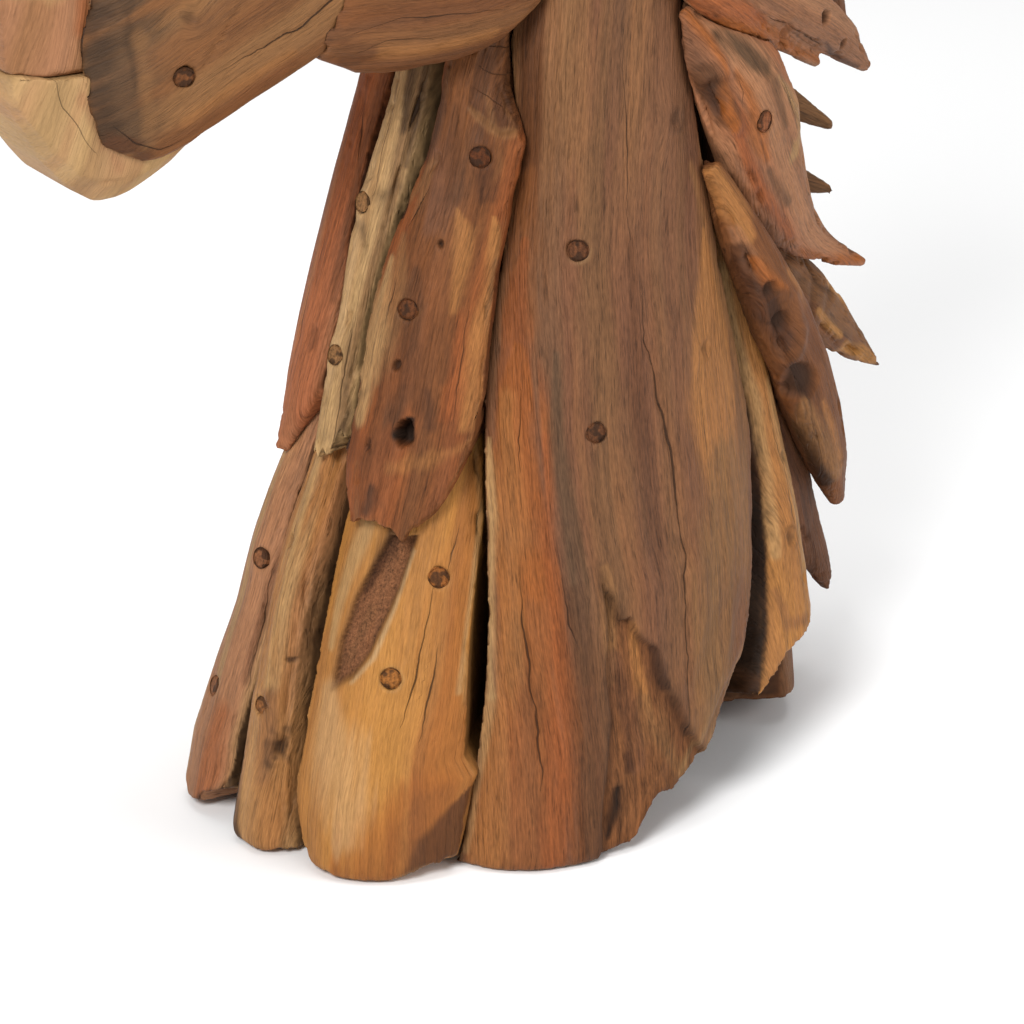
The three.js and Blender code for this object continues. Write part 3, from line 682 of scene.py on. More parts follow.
def thin_out(wood):
    """Leaves large faces where the neighbours hide the wood."""
    share = wood.hidden.mean()
    if share == 0:
        return
    hidden = wood.piece.vertex_groups.new(name="hidden")
    hidden.add(np.flatnonzero(wood.hidden).tolist(), 1.0, "REPLACE")
    fewer = wood.piece.modifiers.new("fewer faces", "DECIMATE")
    fewer.ratio = 1 - THINNED * share
    fewer.vertex_group = hidden.name
    bpy.ops.object.modifier_apply(modifier=fewer.name)
    wood.piece.vertex_groups.clear()
    left = read(wood.piece.data.vertices, "co")
    left[:, 2] = np.maximum(left[:, 2], 0)
    wood.piece.data.vertices.foreach_set("co", left.ravel())


def keep(mesh, name, kind, values):
    """Stores a value, a vector or a colour for each point of a mesh."""
    layer = mesh.attributes.new(name, kind, "POINT")
    layer.data.foreach_set(FIELD[kind], np.ascontiguousarray(values, np.float32).ravel())


def give(wood):
    mesh = wood.piece.data
    carved = wood.place + wood.normal * wood.lift[:, None]
    carved[:, 2] = np.maximum(carved[:, 2], 0)
    mesh.vertices.foreach_set("co", (carved * MM).ravel())
    keep(mesh, "grain", "FLOAT_VECTOR", wood.grain + wood.seed * GRAIN_APART)
    for name in SCALARS:
        keep(mesh, name, "FLOAT", getattr(wood, name))
    keep(mesh, "tint", "FLOAT_COLOR", np.column_stack([wood.tint, np.ones(len(wood.tint))]))
    mesh.update()
    for name, place in zip(PLUG_NODES, PLUG_PLACES):
        near = np.linalg.norm(wood.place - place, axis=1) < PLUG_CLEAR
        if wood.node in name and near.any():
            beside_plug[name] = wood.tint[near].mean(axis=0)
    pick_only(wood.piece)
    thin_out(wood)
    bpy.ops.object.shade_smooth()
    mesh.materials.append(FINISH[SLOT_OF[wood.node]])
    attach(wood.piece, "root")
    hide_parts(wood.node)
    mesh.calc_loop_triangles()
    made[wood.node] = len(mesh.loop_triangles)
    print(wood.node, "triangles:", made[wood.node])


print("plugs to leave room for:", len(PLUG_NODES))

# %% [markdown]
# ## The great slab
# The widest slab stands on the near side from the floor to the jowl. Its left part is clean orange
# heartwood, a dark grey line divides it from the plum brown middle, and the right edge is golden.
# A long crack runs down it, and at the lower right the surface has broken away along the grain.
# Every streak is one stroke of angle, height and half width, laid in the order a stain would be.

# %% Great slab
GREAT_GRAIN = [(244, 480), (247, 330), (253, 234), (259, 144), (262, 60), (263, 0)]
wood = Timber("great_slab_near", 1.7, seed=3).on_neck(GREAT_GRAIN)
spare_plugs(wood)
weather(wood, 0.8, 0.5)
worn_foot(wood, 9)
ragged_end(wood, 11, 12, 262, 300, 34)
ground(wood, "plum", "tan", "ash")
brush(wood, "tan", [(243, 470, 10), (247, 400, 10), (252, 340, 7)], 0.5)
GREAT_MIDDLE = [(252, 470, 6), (254, 300, 9), (258, 230, 12), (261, 140, 15), (262, 60, 16), (263, 0, 16)]
brush(wood, "ash", GREAT_MIDDLE)
# The umber at the top left is painted shadow, under the breast slab that laps over this corner.
brush(wood, "umber", [(231, 470, 9), (231.5, 420, 10), (233, 385, 10), (235, 345, 9)], 0.9, 0.3, 0.6)
brush(wood, "brown", [(234, 360, 8), (236.5, 325, 11), (238, 290, 13)], 0.8, 0.4, 0.6)
brush(wood, "rust", [(236, 330, 3), (237, 290, 10), (238.5, 245, 15), (241, 200, 16)], 0.45, 0.6, 0.5)
brush(wood, "orange", [(238, 275, 4), (239, 239, 13), (241.5, 197, 16), (244, 155, 16)], 0.6, 0.5, 0.6)
brush(wood, "orange", [(244, 155, 16), (245.5, 113, 16), (246, 71, 17), (245, 0, 20)], 0.6, 0.4, 0.7)
brush(wood, "brown", [(244, 130, 8), (247, 80, 12), (248, 0, 18)], 0.55, 0.5)
LEFT_GOLD = [(236, 250, 5), (239, 200, 9), (241, 150, 9), (241, 110, 8), (240, 50, 8), (240, 0, 9)]
brush(wood, "gold", LEFT_GOLD, 0.5)
brush(wood, "rust", [(246, 230, 4), (248.5, 180, 6), (250.5, 130, 6), (251.5, 60, 7), (252, 0, 8)], 0.6)
brush(wood, "slate", [(246.5, 275, 2), (248, 235, 3), (251, 190, 5), (254, 140, 5), (256, 100, 3)], 0.8)
brush(wood, "umber", [(253, 150, 5), (256, 100, 8), (258, 50, 10), (259, 0, 12)], 0.6)
# The straw strokes along the rounded left edge are painted highlight, where that edge turns to the light.
brush(wood, "straw", [(232.6, 226, 2), (235.3, 185, 3), (237, 140, 3.5), (239, 92, 3.5)], 0.75)
brush(wood, "straw", [(239, 92, 3.5), (237.6, 50, 2.5), (236.4, 9, 2)], 0.5)
RIGHT_GOLD = [(285.5, 324, 2), (287, 292, 12), (287.5, 262, 17), (288, 228, 18), (287, 185, 8)]
brush(wood, "gold", RIGHT_GOLD, 0.75, 0.4, 0.5)
brush(wood, "olive", [(289, 200, 12), (287, 150, 17), (284, 100, 16), (281, 60, 14)])
brush(wood, "tan", [(281, 360, 3), (290, 304, 5), (298, 261, 6), (301, 218, 6), (295, 136, 8)], 0.6)
brush(wood, "umber", [(262, 330, 3), (266, 240, 4), (270, 170, 4), (271, 140, 2)], 0.45)
BROKEN = [
    (258, 163), (259.5, 150), (261.5, 143), (263, 130), (264.5, 131), (266, 124), (268, 117),
    (270, 110), (271, 96), (273, 84), (275, 70), (277, 57), (281, 45), (284, 20), (276, -5),
    (259, -5), (260, 60), (259.5, 120),
]
cover = recess(wood, BROKEN, 5.0, 2.6, 1.8)
wood.coarse = np.maximum(wood.coarse, cover)
cover_with(wood, "brown", 0.7 * cover)
brush(wood, "tan", [(258.8, 160, 2), (260, 145, 3.5), (261, 120, 3), (261.5, 95, 1.5)], 0.8, 0.7)
brush(wood, "gold", [(265, 128, 1), (266, 112, 4), (267.5, 92, 4), (269, 76, 2)], 0.8, 0.7)
brush(wood, "tan", [(268, 84, 4), (270, 62, 7), (274, 44, 6), (278, 30, 6)], 0.7, 0.7)
brush(wood, "plum", [(262, 110, 3), (264, 80, 5), (266, 50, 5)], 0.6, 0.7)
brush(wood, "umber", [(263, 100, 3), (264, 75, 4), (265, 50, 3)], 0.5)
# Coffee and umber along the break's upper edge are painted shadow, where the unbroken layer overhangs the
# recess.
brush(wood, "coffee", [(269, 112, 1.5), (270.2, 98, 4), (271.5, 86, 2.5)], 0.85, 0.2)
brush(wood, "umber", [(272.5, 80, 2.5), (274.5, 66, 2.5), (276.5, 56, 2)], 0.8, 0.2)
# The near-black stroke low in the break is painted shade in a deep gash.
brush(wood, "pit", [(262.5, 38, 2.2), (262, 27, 3.2), (261, 12, 1.5)], 0.92, 0.15)
brush(wood, "coffee", [(264, 56, 1.5), (264.5, 46, 2.2)], 0.7, 0.2)
brush(wood, "brown", [(262, 5, 6), (268, 12, 8), (275, 25, 7)], 0.5)
LONG_CRACK = [
    (266, 300, 0), (267, 276, 0.5), (270, 251, 0.9), (274, 214, 1.3), (275, 186, 1.0), (277, 153, 0.7),
    (276, 110, 0.4), (276, 60, 0.7),
]
crack(wood, LONG_CRACK, 2.2)
crack(wood, [(243, 155, 0), (244, 133, 0.6), (246, 102, 0.9), (248, 76, 0.8), (249, 45, 0)], 1.6)
crack(wood, [(251, 156, 0), (253, 131, 0.7), (254, 122, 0)], 1.0)
crack(wood, [(239, 255, 0), (240, 230, 0.5), (241, 212, 0)], 0.8)
crack(wood, [(258, 420, 0), (260, 380, 0.5), (262, 330, 0)], 0.6)
knot(wood, 275, 388, 6, 1.2)
knot(wood, 284, 261, 4, 1.6, 0.35)
paint_shade_on_sides(wood)
pale_edges(wood, "straw", 0.35)
give(wood)

# %% [markdown]
# ## The golden foot slab
# Honey coloured and smooth, it bulges forward at the foot. A pocket of rough pinkish bark is left in
# its upper half, beside a pale prong, and fine cracks run down beside the plugs. The pocket is sunk
# by moving its points inward, with a narrow bank. A sculpted pocket would need a finer mesh.

# %% Foot slab
wood = Timber("foot_slab_near", 1.5, seed=5).on_neck([(216, 262), (217, 150), (219, 90), (220, 0)])
spare_plugs(wood)
weather(wood, 0.5)
worn_foot(wood, 10)
shove(wood, [(235.5, 63, 0), (235.5, 53, 7), (235, 44, 4), (234.5, 20, 3.5), (234, 0, 2)], 16)
wood.plain[:] = 0.4
ground(wood, "honey", "gold", "honey")
brush(wood, "orange", [(229, 210, 9), (230, 162, 12), (231, 84, 11), (230, 43, 14), (229, 5, 16)], 0.6)
brush(wood, "orange", [(227, 50, 12), (222, 10, 26), (221, 0, 30)], 0.6)
brush(wood, "brown", [(230, 45, 8), (227, 15, 18), (225, 0, 22)], 0.45)
brush(wood, "cream", [(208, 95, 8), (212, 70, 17), (216, 42, 18), (217, 24, 10)], 0.5)
brush(wood, "gold", [(203, 120, 5), (204, 70, 8), (206, 20, 10)], 0.6)
# The umber at the lower right is painted shade on the slab's side below the nub, turned away toward the great
# slab.
brush(wood, "umber", [(237, 50, 3), (236, 38, 8), (234.5, 20, 13), (233.5, 0, 16)], 0.92, 0.1, 0.9)
brush(wood, "straw", [(232.6, 200, 1.5), (232.8, 130, 2), (233, 98, 2)], 0.6)
POCKET = [
    (213, 178), (210, 156), (208.2, 142), (207.2, 122), (208.5, 97), (213, 105), (216, 118),
    (218, 139), (219, 151), (220, 178),
]
cover = recess(wood, POCKET, 7.0, 3.4, 0.7)
wood.bark = cover
cover_with(wood, "bark", 0.95 * cover)
brush(wood, "ash", [(213, 138, 4), (210.5, 112, 5)], 0.45)
# The coffee at the pocket's top is painted shadow, where the pocket lies under the prong.
brush(wood, "coffee", [(214, 182, 9), (213, 165, 6), (210.5, 146, 2)], 0.75, 0.3)
brush(wood, "straw", [(207, 182, 8), (205, 160, 8), (204.5, 140, 5), (205.5, 118, 3)], 0.8)
# The thin cream line on the pocket's right bank is painted highlight.
brush(wood, "cream", [(219.5, 170, 1.2), (218.5, 145, 1.6), (216.5, 118, 1.6), (213, 104, 1.6)], 0.8, 0.2)
crack(wood, [(225, 150, 0), (225, 130, 0.5), (225, 107, 0.7), (224, 84, 0)], 1.2)
crack(wood, [(228, 122, 0), (228, 100, 0.9), (227.5, 76, 0)], 1.0)
crack(wood, [(228, 180, 0), (227.5, 168, 0.5), (227, 160, 0)], 0.6)
paint_shade_on_sides(wood)
pale_edges(wood, "straw", 0.4)
give(wood)

# %% [markdown]
# ## The breast slab
# It laps over the tops of the slabs below. It is stained plum and streaked with gold, with a sawn
# shoulder, worm holes and one deep hole. The shoulder's flat step is a recess with a narrow bank. It
# could be cut with a Boolean, but then the points would no longer lie evenly for the colours.

# %% Breast slab
BREAST_GRAIN = [(222, 475), (219, 380), (217, 300), (215, 240), (213, 176)]
wood = Timber("breast_slab_near", 1.5, seed=7).on_neck(BREAST_GRAIN)
spare_plugs(wood)
weather(wood, 1.0, 1.5)
gnarl(wood, 1.0, 30)
ragged_end(wood, 5, 6)
ground(wood, "brown", "rust", "chestnut")
brush(wood, "plum", [(206, 405, 10), (210, 384, 13), (214, 362, 12), (215, 343, 7)], 0.8)
brush(wood, "umber", [(214, 400, 8), (217, 377, 9), (219, 360, 6)], 0.65)
brush(wood, "coffee", [(222, 392, 5), (225, 376, 6), (227, 360, 5)], 0.55)
brush(wood, "tan", [(204, 352, 2), (207, 361, 3), (210, 374, 3)], 0.6)
brush(wood, "gold", [(220, 352, 1), (222, 340, 5), (223, 326, 6), (223, 300, 4)], 0.7, 0.7)
brush(wood, "gold", [(229, 347, 1), (230, 325, 5), (229.5, 300, 8), (229, 265, 8), (228, 238, 4)], 0.85, 0.6)
brush(wood, "tan", [(206, 335, 3), (207, 312, 6), (208, 290, 6), (207, 262, 4)], 0.65, 0.6)
brush(wood, "straw", [(203, 322, 3), (202, 300, 7), (202, 282, 9), (201, 262, 9), (202, 240, 5)], 0.75)
brush(wood, "umber", [(212, 318, 3), (215, 290, 9), (217, 262, 10), (213, 245, 7)], 0.8, 0.7)
brush(wood, "rust", [(224, 300, 3), (225, 270, 6), (225, 245, 5)], 0.5, 0.7)
brush(wood, "plum", [(231, 323, 3), (231.5, 312, 4.5), (231, 300, 3)], 0.85)
brush(wood, "umber", [(222.5, 282, 3), (223, 272, 4), (222.5, 264, 3)], 0.6)
brush(wood, "coffee", [(219.5, 258, 3), (220.5, 249, 5), (221, 240, 4)], 0.7)
brush(wood, "gold", [(214, 217, 5), (221, 222, 7), (228, 228, 5)], 0.45)
brush(wood, "coffee", [(210, 205, 3), (210, 197, 5), (209, 190, 4)], 0.85)
SAWN = [
    (225, 480), (219, 430), (218, 405), (221, 400), (225, 394), (228, 389), (236, 388), (236, 480),
]
cover = recess(wood, SAWN, 2.6, 1.4, 0.5)
cover_with(wood, "umber", 0.95 * cover)
brush(wood, "tan", [(219, 403, 1.5), (223, 397, 2), (227, 391, 2.5), (231, 389, 3)], 0.6)
for saw_line in range(4):
    start = 412 + 12 * saw_line
    crack(wood, [(220, start, 0), (223, start - 3, 0.3), (227, start - 10, 0)], 0.15)
hollow(wood, 215.4, 236, 5, 16, 1.6, 1.0, 0.8)
# The near-black stroke in the deep hole is painted shade.
brush(wood, "pit", [(216.4, 243, 2), (215.4, 235, 5)], 1.0, 0.1, 0.9)
hollow(wood, 217, 334, 1.8, 4, 1.3, 1.0)
hollow(wood, 211, 270, 2.2, 4, 1.6, 0.9)
hollow(wood, 207, 227, 1.6, 3, 3.0, 0.9)
crack(wood, [(226, 300, 0), (226, 270, 0.4), (226, 243, 0)], 0.8)
crack(wood, [(211, 362, 0), (208, 350, 0.8), (207, 340, 0)], 1.2)
crack(wood, [(207, 312, 0), (206.5, 302, 0.7), (206, 294, 0)], 0.8)
paint_shade_on_sides(wood)
pale_edges(wood, "tan", 0.5)
give(wood)

# %% [markdown]
# ## The throat strip and the red slab
# Both lap over the chest. The strip is pale sapwood on its left and weathered grey on its right,
# gnarled and frayed at its end. The red slab is smooth and ends in a slanting point, so it only needs
# a ground coat, two cracks and a worn place. They are carved apart, as two lengths of wood.

# %% Throat strip and red slab
wood = Timber("throat_strip_near", 1.5, seed=9).on_neck([(192, 475), (191, 380), (190, 300), (191, 210)])
spare_plugs(wood)
weather(wood, 1.2, 1.6)
gnarl(wood, 0.9, 22)
ragged_end(wood, 8, 3)
ground(wood, "straw", "cream", "olive")
brush(wood, "ash", [(197, 440, 7), (197, 354, 5), (195, 311, 5), (194, 274, 5), (196, 225, 6)], 0.65)
brush(wood, "slate", [(195, 435, 5), (195, 405, 4), (196, 385, 3)], 0.8)
brush(wood, "slate", [(199, 425, 3), (199.5, 390, 3), (198.5, 365, 2)], 0.7)
brush(wood, "cream", [(185, 411, 5), (186, 371, 6), (187, 335, 6), (188, 289, 6), (188, 247, 5)], 0.85)
crack(wood, [(199, 404, 0), (199, 395, 2.2), (198, 386, 0.3)], 3.0)
crack(wood, [(193, 279, 0), (194, 250, 0.5), (195, 212, 0.7)], 1.0)
crack(wood, [(190, 420, 0), (190, 390, 0.5), (190.5, 350, 0)], 0.8)
paint_shade_on_sides(wood)
give(wood)

wood = Timber("throat_slab_red", 1.6, seed=11).on_neck([(174, 475), (173, 350), (172, 200)])
weather(wood, 0.7)
ground(wood, "red", "rust", "rose")
brush(wood, "umber", [(181, 470, 6), (179, 378, 4), (178, 340, 3), (180, 288, 2)], 0.6)
crack(wood, [(175, 392, 0), (176, 375, 0.8), (177, 360, 0)], 1.2)
crack(wood, [(170, 300, 0), (170.5, 270, 0.4), (171, 240, 0)], 0.5)
hollow(wood, 177, 266, 4, 1.5, 2.2, 0.4)
paint_shade_on_sides(wood)
give(wood)

# %% [markdown]
# ## The two chest slabs and the back slab
# Narrow lengths stand at the front, knotty and charred at the foot, with a gap between them near the
# floor. The back slab is golden, with fine dark lines, and its inner side lies in deep shade. That
# side is painted dark as shade as well, since the light of a room would still reach into the gap.

# %% Chest slabs and back slab
wood = Timber("chest_slab_outer", 1.5, seed=13).on_neck([(176, 262), (177, 120), (178, 60), (178, 0)])
spare_plugs(wood)
weather(wood, 1.2, 1.4)
worn_foot(wood, 10)
ragged_end(wood, 6, 8)
ground(wood, "rose", "straw", "rose")
brush(wood, "straw", [(169, 200, 3), (169, 150, 4), (170, 105, 5), (171, 68, 4)], 0.7)
brush(wood, "plum", [(180, 200, 5), (180.5, 150, 6), (180, 110, 5), (180, 80, 4)], 0.6)
brush(wood, "rust", [(177, 58, 9), (177, 30, 12), (176, 10, 12)], 0.6)
brush(wood, "char", [(170, 0, 6), (176, 2, 8), (182, 7, 9)], 0.9)
crack(wood, [(179, 140, 0), (180, 110, 1.0), (181, 75, 0)], 2.0)
paint_shade_on_sides(wood)
give(wood)

wood = Timber("chest_slab_inner", 1.5, seed=15).on_neck([(190, 262), (192, 130), (195, 60), (197, 0)])
spare_plugs(wood)
weather(wood, 1.2, 1.5)
gnarl(wood, 1.4, 26)
worn_foot(wood, 10)
ground(wood, "gold", "straw", "rose")
ridge(wood, [(189, 215, 7), (190, 160, 7), (192, 110, 7), (195, 60, 8), (198, 5, 8)], 3.0)
# Straw left of the ridge is painted highlight and umber right of it painted shade, as the left face turns to
# the light and the right face away.
brush(wood, "straw", [(187, 205, 6), (189, 165, 8), (190.5, 124, 8), (192.5, 90, 6)], 0.75)
brush(wood, "umber", [(197.5, 165, 3), (198.5, 115, 4), (201, 71, 5), (204, 29, 6)], 0.85, 0.4, 0.5)
brush(wood, "plum", [(193, 85, 5), (195, 60, 8), (196, 40, 6)], 0.5)
brush(wood, "char", [(186.5, 62, 2), (187, 35, 6), (188, 10, 9), (192, 0, 6)], 0.9)
brush(wood, "gold", [(197, 35, 8), (199, 15, 9)], 0.5)
ROUGH_TOP = [(191, 230), (194, 205), (194.5, 185), (196, 168), (203, 168), (203, 230)]
cover = recess(wood, ROUGH_TOP, 3.0)
wood.coarse = np.maximum(wood.coarse, cover)
cover_with(wood, "brown", 0.9 * cover)
hollow(wood, 187, 163, 3.2, 5, 1.4, 0.95)
crack(wood, [(187, 180, 0), (187, 166, 0.7), (187, 160, 0.2)], 1.0)
knot(wood, 197.6, 58, 6, 1.7, 0.95)
hollow(wood, 197.9, 58, 3, 2, 1.9, 0.95)
hollow(wood, 195.5, 104, 4, 1.5, 0.4, 0.9)
paint_shade_on_sides(wood)
give(wood)

wood = Timber("back_slab_near", 1.6, seed=17).on_neck([(304, 330), (311, 212), (314, 140), (312, 40)])
shove(wood, [(299, 330, 3), (303, 260, 6), (305, 180, 8), (305, 100, 8), (304, 40, 7)], 32, inward=True)
weather(wood, 0.7)
ragged_end(wood, 3, 6)
ground(wood, "gold", "honey", "tan")
brush(wood, "straw", [(304, 290, 3), (311, 212, 4), (311, 165, 4), (309, 124, 3)], 0.6)
brush(wood, "straw", [(315, 220, 4), (317, 160, 5), (317, 110, 5)], 0.5)
brush(wood, "plum", [(307, 105, 3), (308, 85, 5), (313, 82, 5)], 0.5)
knot(wood, 313, 131, 3.5, 1.8, 0.7)
hollow(wood, 316, 176, 3, 1, 1.6, 0.5)
crack(wood, [(313, 220, 0), (315, 170, 0.4), (315, 120, 0.3), (314, 95, 0)], 0.8)
# The inner side is painted near black as shade.
cover_with(wood, "pit", 0.98 * (1 - ease(0.4, 0.8, wood.tilt)))
give(wood)

# %% [markdown]
# ## The head's near side
# Muzzle plate and jowl are thicker blocks, sanded rounder than the neck. The muzzle is grey at the
# front and has one long crack, and the jowl shows growth lines. Their points may move out by 2.5 mm,
# where a slab's move 1 mm at most. A Bevel modifier would round the rims and leave broad faces flat.

# %% Muzzle and jowl
wood = Timber("muzzle_near", 1.7, 52, 19, 2.5).in_side_view((0.86, 0, 0.5))
spare_plugs(wood)
weather(wood, 0.5, 0.8)
wood.plain[:] = 0.4
ground(wood, "tan", "brown", "ash")
brush(wood, "slate", [(-238, 500, 22), (-240, 449, 26), (-236, 420, 20)], 0.9)
brush(wood, "char", [(-247, 480, 9), (-249, 445, 10), (-244, 416, 9)], 0.6)
brush(wood, "char", [(-232, 500, 3), (-233, 470, 3), (-231, 445, 2)], 0.4)
brush(wood, "tan", [(-228, 470, 4), (-226, 445, 5), (-224, 420, 4)], 0.5)
brush(wood, "umber", [(-240, 416, 5), (-224, 406, 6)], 0.8)
brush(wood, "brown", [(-215, 412, 8), (-190, 424, 9), (-150, 446, 8)], 0.6)
brush(wood, "gold", [(-205, 424, 4), (-180, 438, 5), (-150, 452, 4)], 0.4)
brush(wood, "umber", [(-185, 468, 4), (-160, 482, 5), (-135, 495, 4)], 0.45)
crack(wood, [(-192, 446, 0), (-170, 456, 0.7), (-146, 465, 1.2), (-125, 478, 0.9), (-108, 490, 0)], 1.6)
crack(wood, [(-240, 424, 0), (-230, 414, 1.0), (-216, 408, 0.9), (-206, 412, 0)], 1.0)
knot(wood, -205, 478, 5, 1.0, 0.5)
paint_shade_on_sides(wood)
give(wood)

wood = Timber("jowl_near", 1.9, 52, 21, 2.5).in_side_view((1, 0, 0.05))
weather(wood, 0.5, 0.6)
wood.plain[:] = 0.25
ground(wood, "brown", "tan", "umber")
brush(wood, "gold", [(-100, 446, 5), (-70, 444, 6), (-35, 446, 5)], 0.5)
brush(wood, "umber", [(-130, 456, 8), (-108, 448, 6), (-116, 440, 5)], 0.6)
crack(wood, [(-118, 458, 0), (-92, 464, 0.5), (-64, 462, 0.5), (-32, 458, 0)], 0.3)
crack(wood, [(-117, 446, 0), (-100, 452, 0.5), (-73, 450, 0)], 0.3)
crack(wood, [(-90, 474, 0), (-60, 476, 0.5), (-25, 470, 0)], 0.3)
paint_shade_on_sides(wood)
give(wood)

# %% [markdown]
# ## Chin and nose
# The chin is a block of pale sapwood and the nose a pinkish one, both rubbed smooth. Their grain is
# calmed, because sapwood has fewer pores, and the strokes go right round them, since a block that
# makes the front of the head is seen from both sides.

# %% Chin and nose
wood = Timber("chin_block", 1.5, 40, seed=23).in_side_view((0.3, 0, 1))
weather(wood, 0.4, 0.8)
wood.plain[:] = 0.6
ground(wood, "straw", "cream", "rose")
wood.face[:] = 1
brush(wood, "rose", [(-254, 440, 4), (-244, 420, 4), (-235, 400, 4)], 0.5)
crack(wood, [(-267, 452, 0), (-264, 435, 0.4), (-247, 411, 0)], 0.4)
give(wood)

wood = Timber("nose_block", 1.7, 40, seed=25).in_side_view((0.2, 0, 1))
weather(wood, 0.4, 0.8)
wood.plain[:] = 0.5
ground(wood, "rose", "tan", "rose")
wood.face[:] = 1
brush(wood, "rust", [(-250, 474, 6), (-247, 500, 5)], 0.6)
brush(wood, "straw", [(-300, 492, 5), (-262, 492, 5)], 0.4)
give(wood)

# %% [markdown]
# ## The mane's near shards
# The mane is made of offcuts: knotty, hollowed near their roots, pointed at their tips, each turned
# so that its grain runs out along the shard. Hollows and raised folds are added to the same depths
# as the weathering. A Displace modifier could raise the folds too, but only from a painted picture.

# %% Near shards of the mane
wood = Timber("mane_near_1", 1.5, 40, seed=27).in_side_view()
spare_plugs(wood)
weather(wood, 1.0, 1.8)
ground(wood, "brown", "umber", "chestnut")
brush(wood, "gold", [(80, 366, 8), (92, 348, 10), (103, 333, 9), (110, 318, 5)], 0.9)
brush(wood, "rose", [(100, 322, 3), (108, 306, 5), (116, 294, 5)], 0.6)
brush(wood, "coffee", [(104, 310, 4), (112, 290, 9), (123, 270, 12), (136, 252, 11)], 0.8)
brush(wood, "orange", [(112, 304, 3), (122, 292, 5), (132, 284, 4)], 0.7)
brush(wood, "gold", [(138, 290, 3), (148, 281, 5), (152, 268, 3)], 0.75)
brush(wood, "chestnut", [(152, 270, 5), (158, 252, 7), (164, 236, 6)], 0.7)
brush(wood, "coffee", [(143, 232, 7), (152, 222, 10), (158, 212, 6)], 0.85)
brush(wood, "tan", [(158, 205, 5), (170, 188, 11), (186, 168, 11), (199, 150, 8)], 0.85)
# The gold stroke is painted highlight on the lit upper face, and the near-black stroke below it painted shade
# on the underside.
brush(wood, "gold", [(172, 204, 3), (186, 182, 5), (198, 160, 4)], 0.6)
brush(wood, "pit", [(150, 200, 3), (162, 180, 6), (178, 160, 5), (194, 142, 4)], 0.75)
hollow(wood, 122, 284, 5, 3.5, 1.5, 0.85, 0.4)
hollow(wood, 132, 263, 7, 4.5, 1.3, 0.85, 0.5)
hollow(wood, 152, 221, 12, 4.5, 1.2, 0.85, 0.65)
ridge(wood, [(112, 306, 4), (124, 292, 5), (140, 276, 5), (148, 254, 5), (146, 240, 4)], 2.5)
knot(wood, 128, 272, 8, 1.3, 0.6)
paint_shade_on_sides(wood, "coffee", 0.7, 0.2)
give(wood)

wood = Timber("mane_near_2", 1.5, 40, seed=29).in_side_view()
spare_plugs(wood)
weather(wood, 1.2, 2.2)
ground(wood, "rose", "red", "plum")
brush(wood, "plum", [(74, 432, 7), (80, 420, 9), (86, 412, 7)], 0.8)
brush(wood, "slate", [(92, 430, 6), (103, 421, 8), (114, 414, 8), (126, 407, 6)], 0.92)
brush(wood, "slate", [(128, 403, 4), (134, 394, 4), (138, 384, 4), (141, 370, 3)], 0.55)
brush(wood, "orange", [(102, 408, 4), (110, 396, 7), (114, 382, 8), (119, 368, 7), (126, 355, 4)], 0.75)
brush(wood, "rust", [(99, 398, 4), (104, 387, 5), (109, 376, 5)], 0.7)
brush(wood, "straw", [(134, 399, 2), (144, 387, 5), (155, 375, 6), (158, 360, 5), (150, 349, 4)], 0.6)
# Umber and coffee darken the big hollow at the left as painted shade.
brush(wood, "umber", [(85, 410, 8), (91, 397, 13), (96, 385, 8)], 0.9, 0.4, 0.5)
brush(wood, "coffee", [(89, 402, 5), (92, 392, 7)], 0.7)
brush(wood, "rust", [(102, 376, 4), (109, 362, 5), (123, 340, 6), (141, 318, 5), (158, 299, 4)], 0.75)
brush(wood, "slate", [(130, 347, 3), (140, 333, 4), (149, 323, 3)], 0.6)
brush(wood, "orange", [(174, 284, 3), (194, 273, 4), (216, 266, 4), (238, 262, 3)], 0.85)
FOLD = [(76, 442, 3), (86, 428, 4), (93, 414, 4), (97, 402, 4), (96, 391, 4)]
brush(wood, "orange", FOLD + [(101, 379, 4)], 0.85)
hollow(wood, 90, 397, 14, 6, 1.0, 0.35, 0.3)
ridge(wood, FOLD + [(101, 379, 5)], 3.5)
ridge(wood, [(132, 400, 4), (146, 384, 5), (156, 366, 5)], 1.2)
crack(wood, [(136, 396, 0), (146, 382, 0.5), (152, 366, 0)], 0.8)
crack(wood, [(141, 396, 0), (152, 382, 0.5), (157, 368, 0)], 0.8)
crack(wood, [(104, 404, 0), (107, 396, 0.8), (106, 390, 0)], 1.0)
paint_shade_on_sides(wood, "coffee", 0.7, 0.2)
give(wood)

wood = Timber("mane_near_3", 1.5, 40, seed=31).in_side_view()
weather(wood, 1.2, 2.0)
ground(wood, "rose", "plum", "tan")
hollow(wood, 184, 418, 4.5, 5, 1.0, 0.95, 0.6)
hollow(wood, 205, 397, 2.8, 3, 1.0, 0.9, 0.6)
brush(wood, "rust", [(66, 462, 10), (84, 448, 11), (104, 436, 10), (126, 424, 8)], 0.85, 0.4, 0.5)
PRONG = [(96, 434, 4), (126, 422, 6), (152, 408, 6), (176, 396, 5), (196, 387, 4)]
brush(wood, "orange", PRONG, 0.8, 0.4, 0.4)
brush(wood, "coffee", [(188, 402, 2), (198, 391, 3), (210, 384, 4), (226, 376, 3)], 0.8)
crack(wood, [(136, 428, 0), (160, 413, 1.4), (184, 400, 0.8)], 2.0)
paint_shade_on_sides(wood, "coffee", 0.7, 0.2)
give(wood)

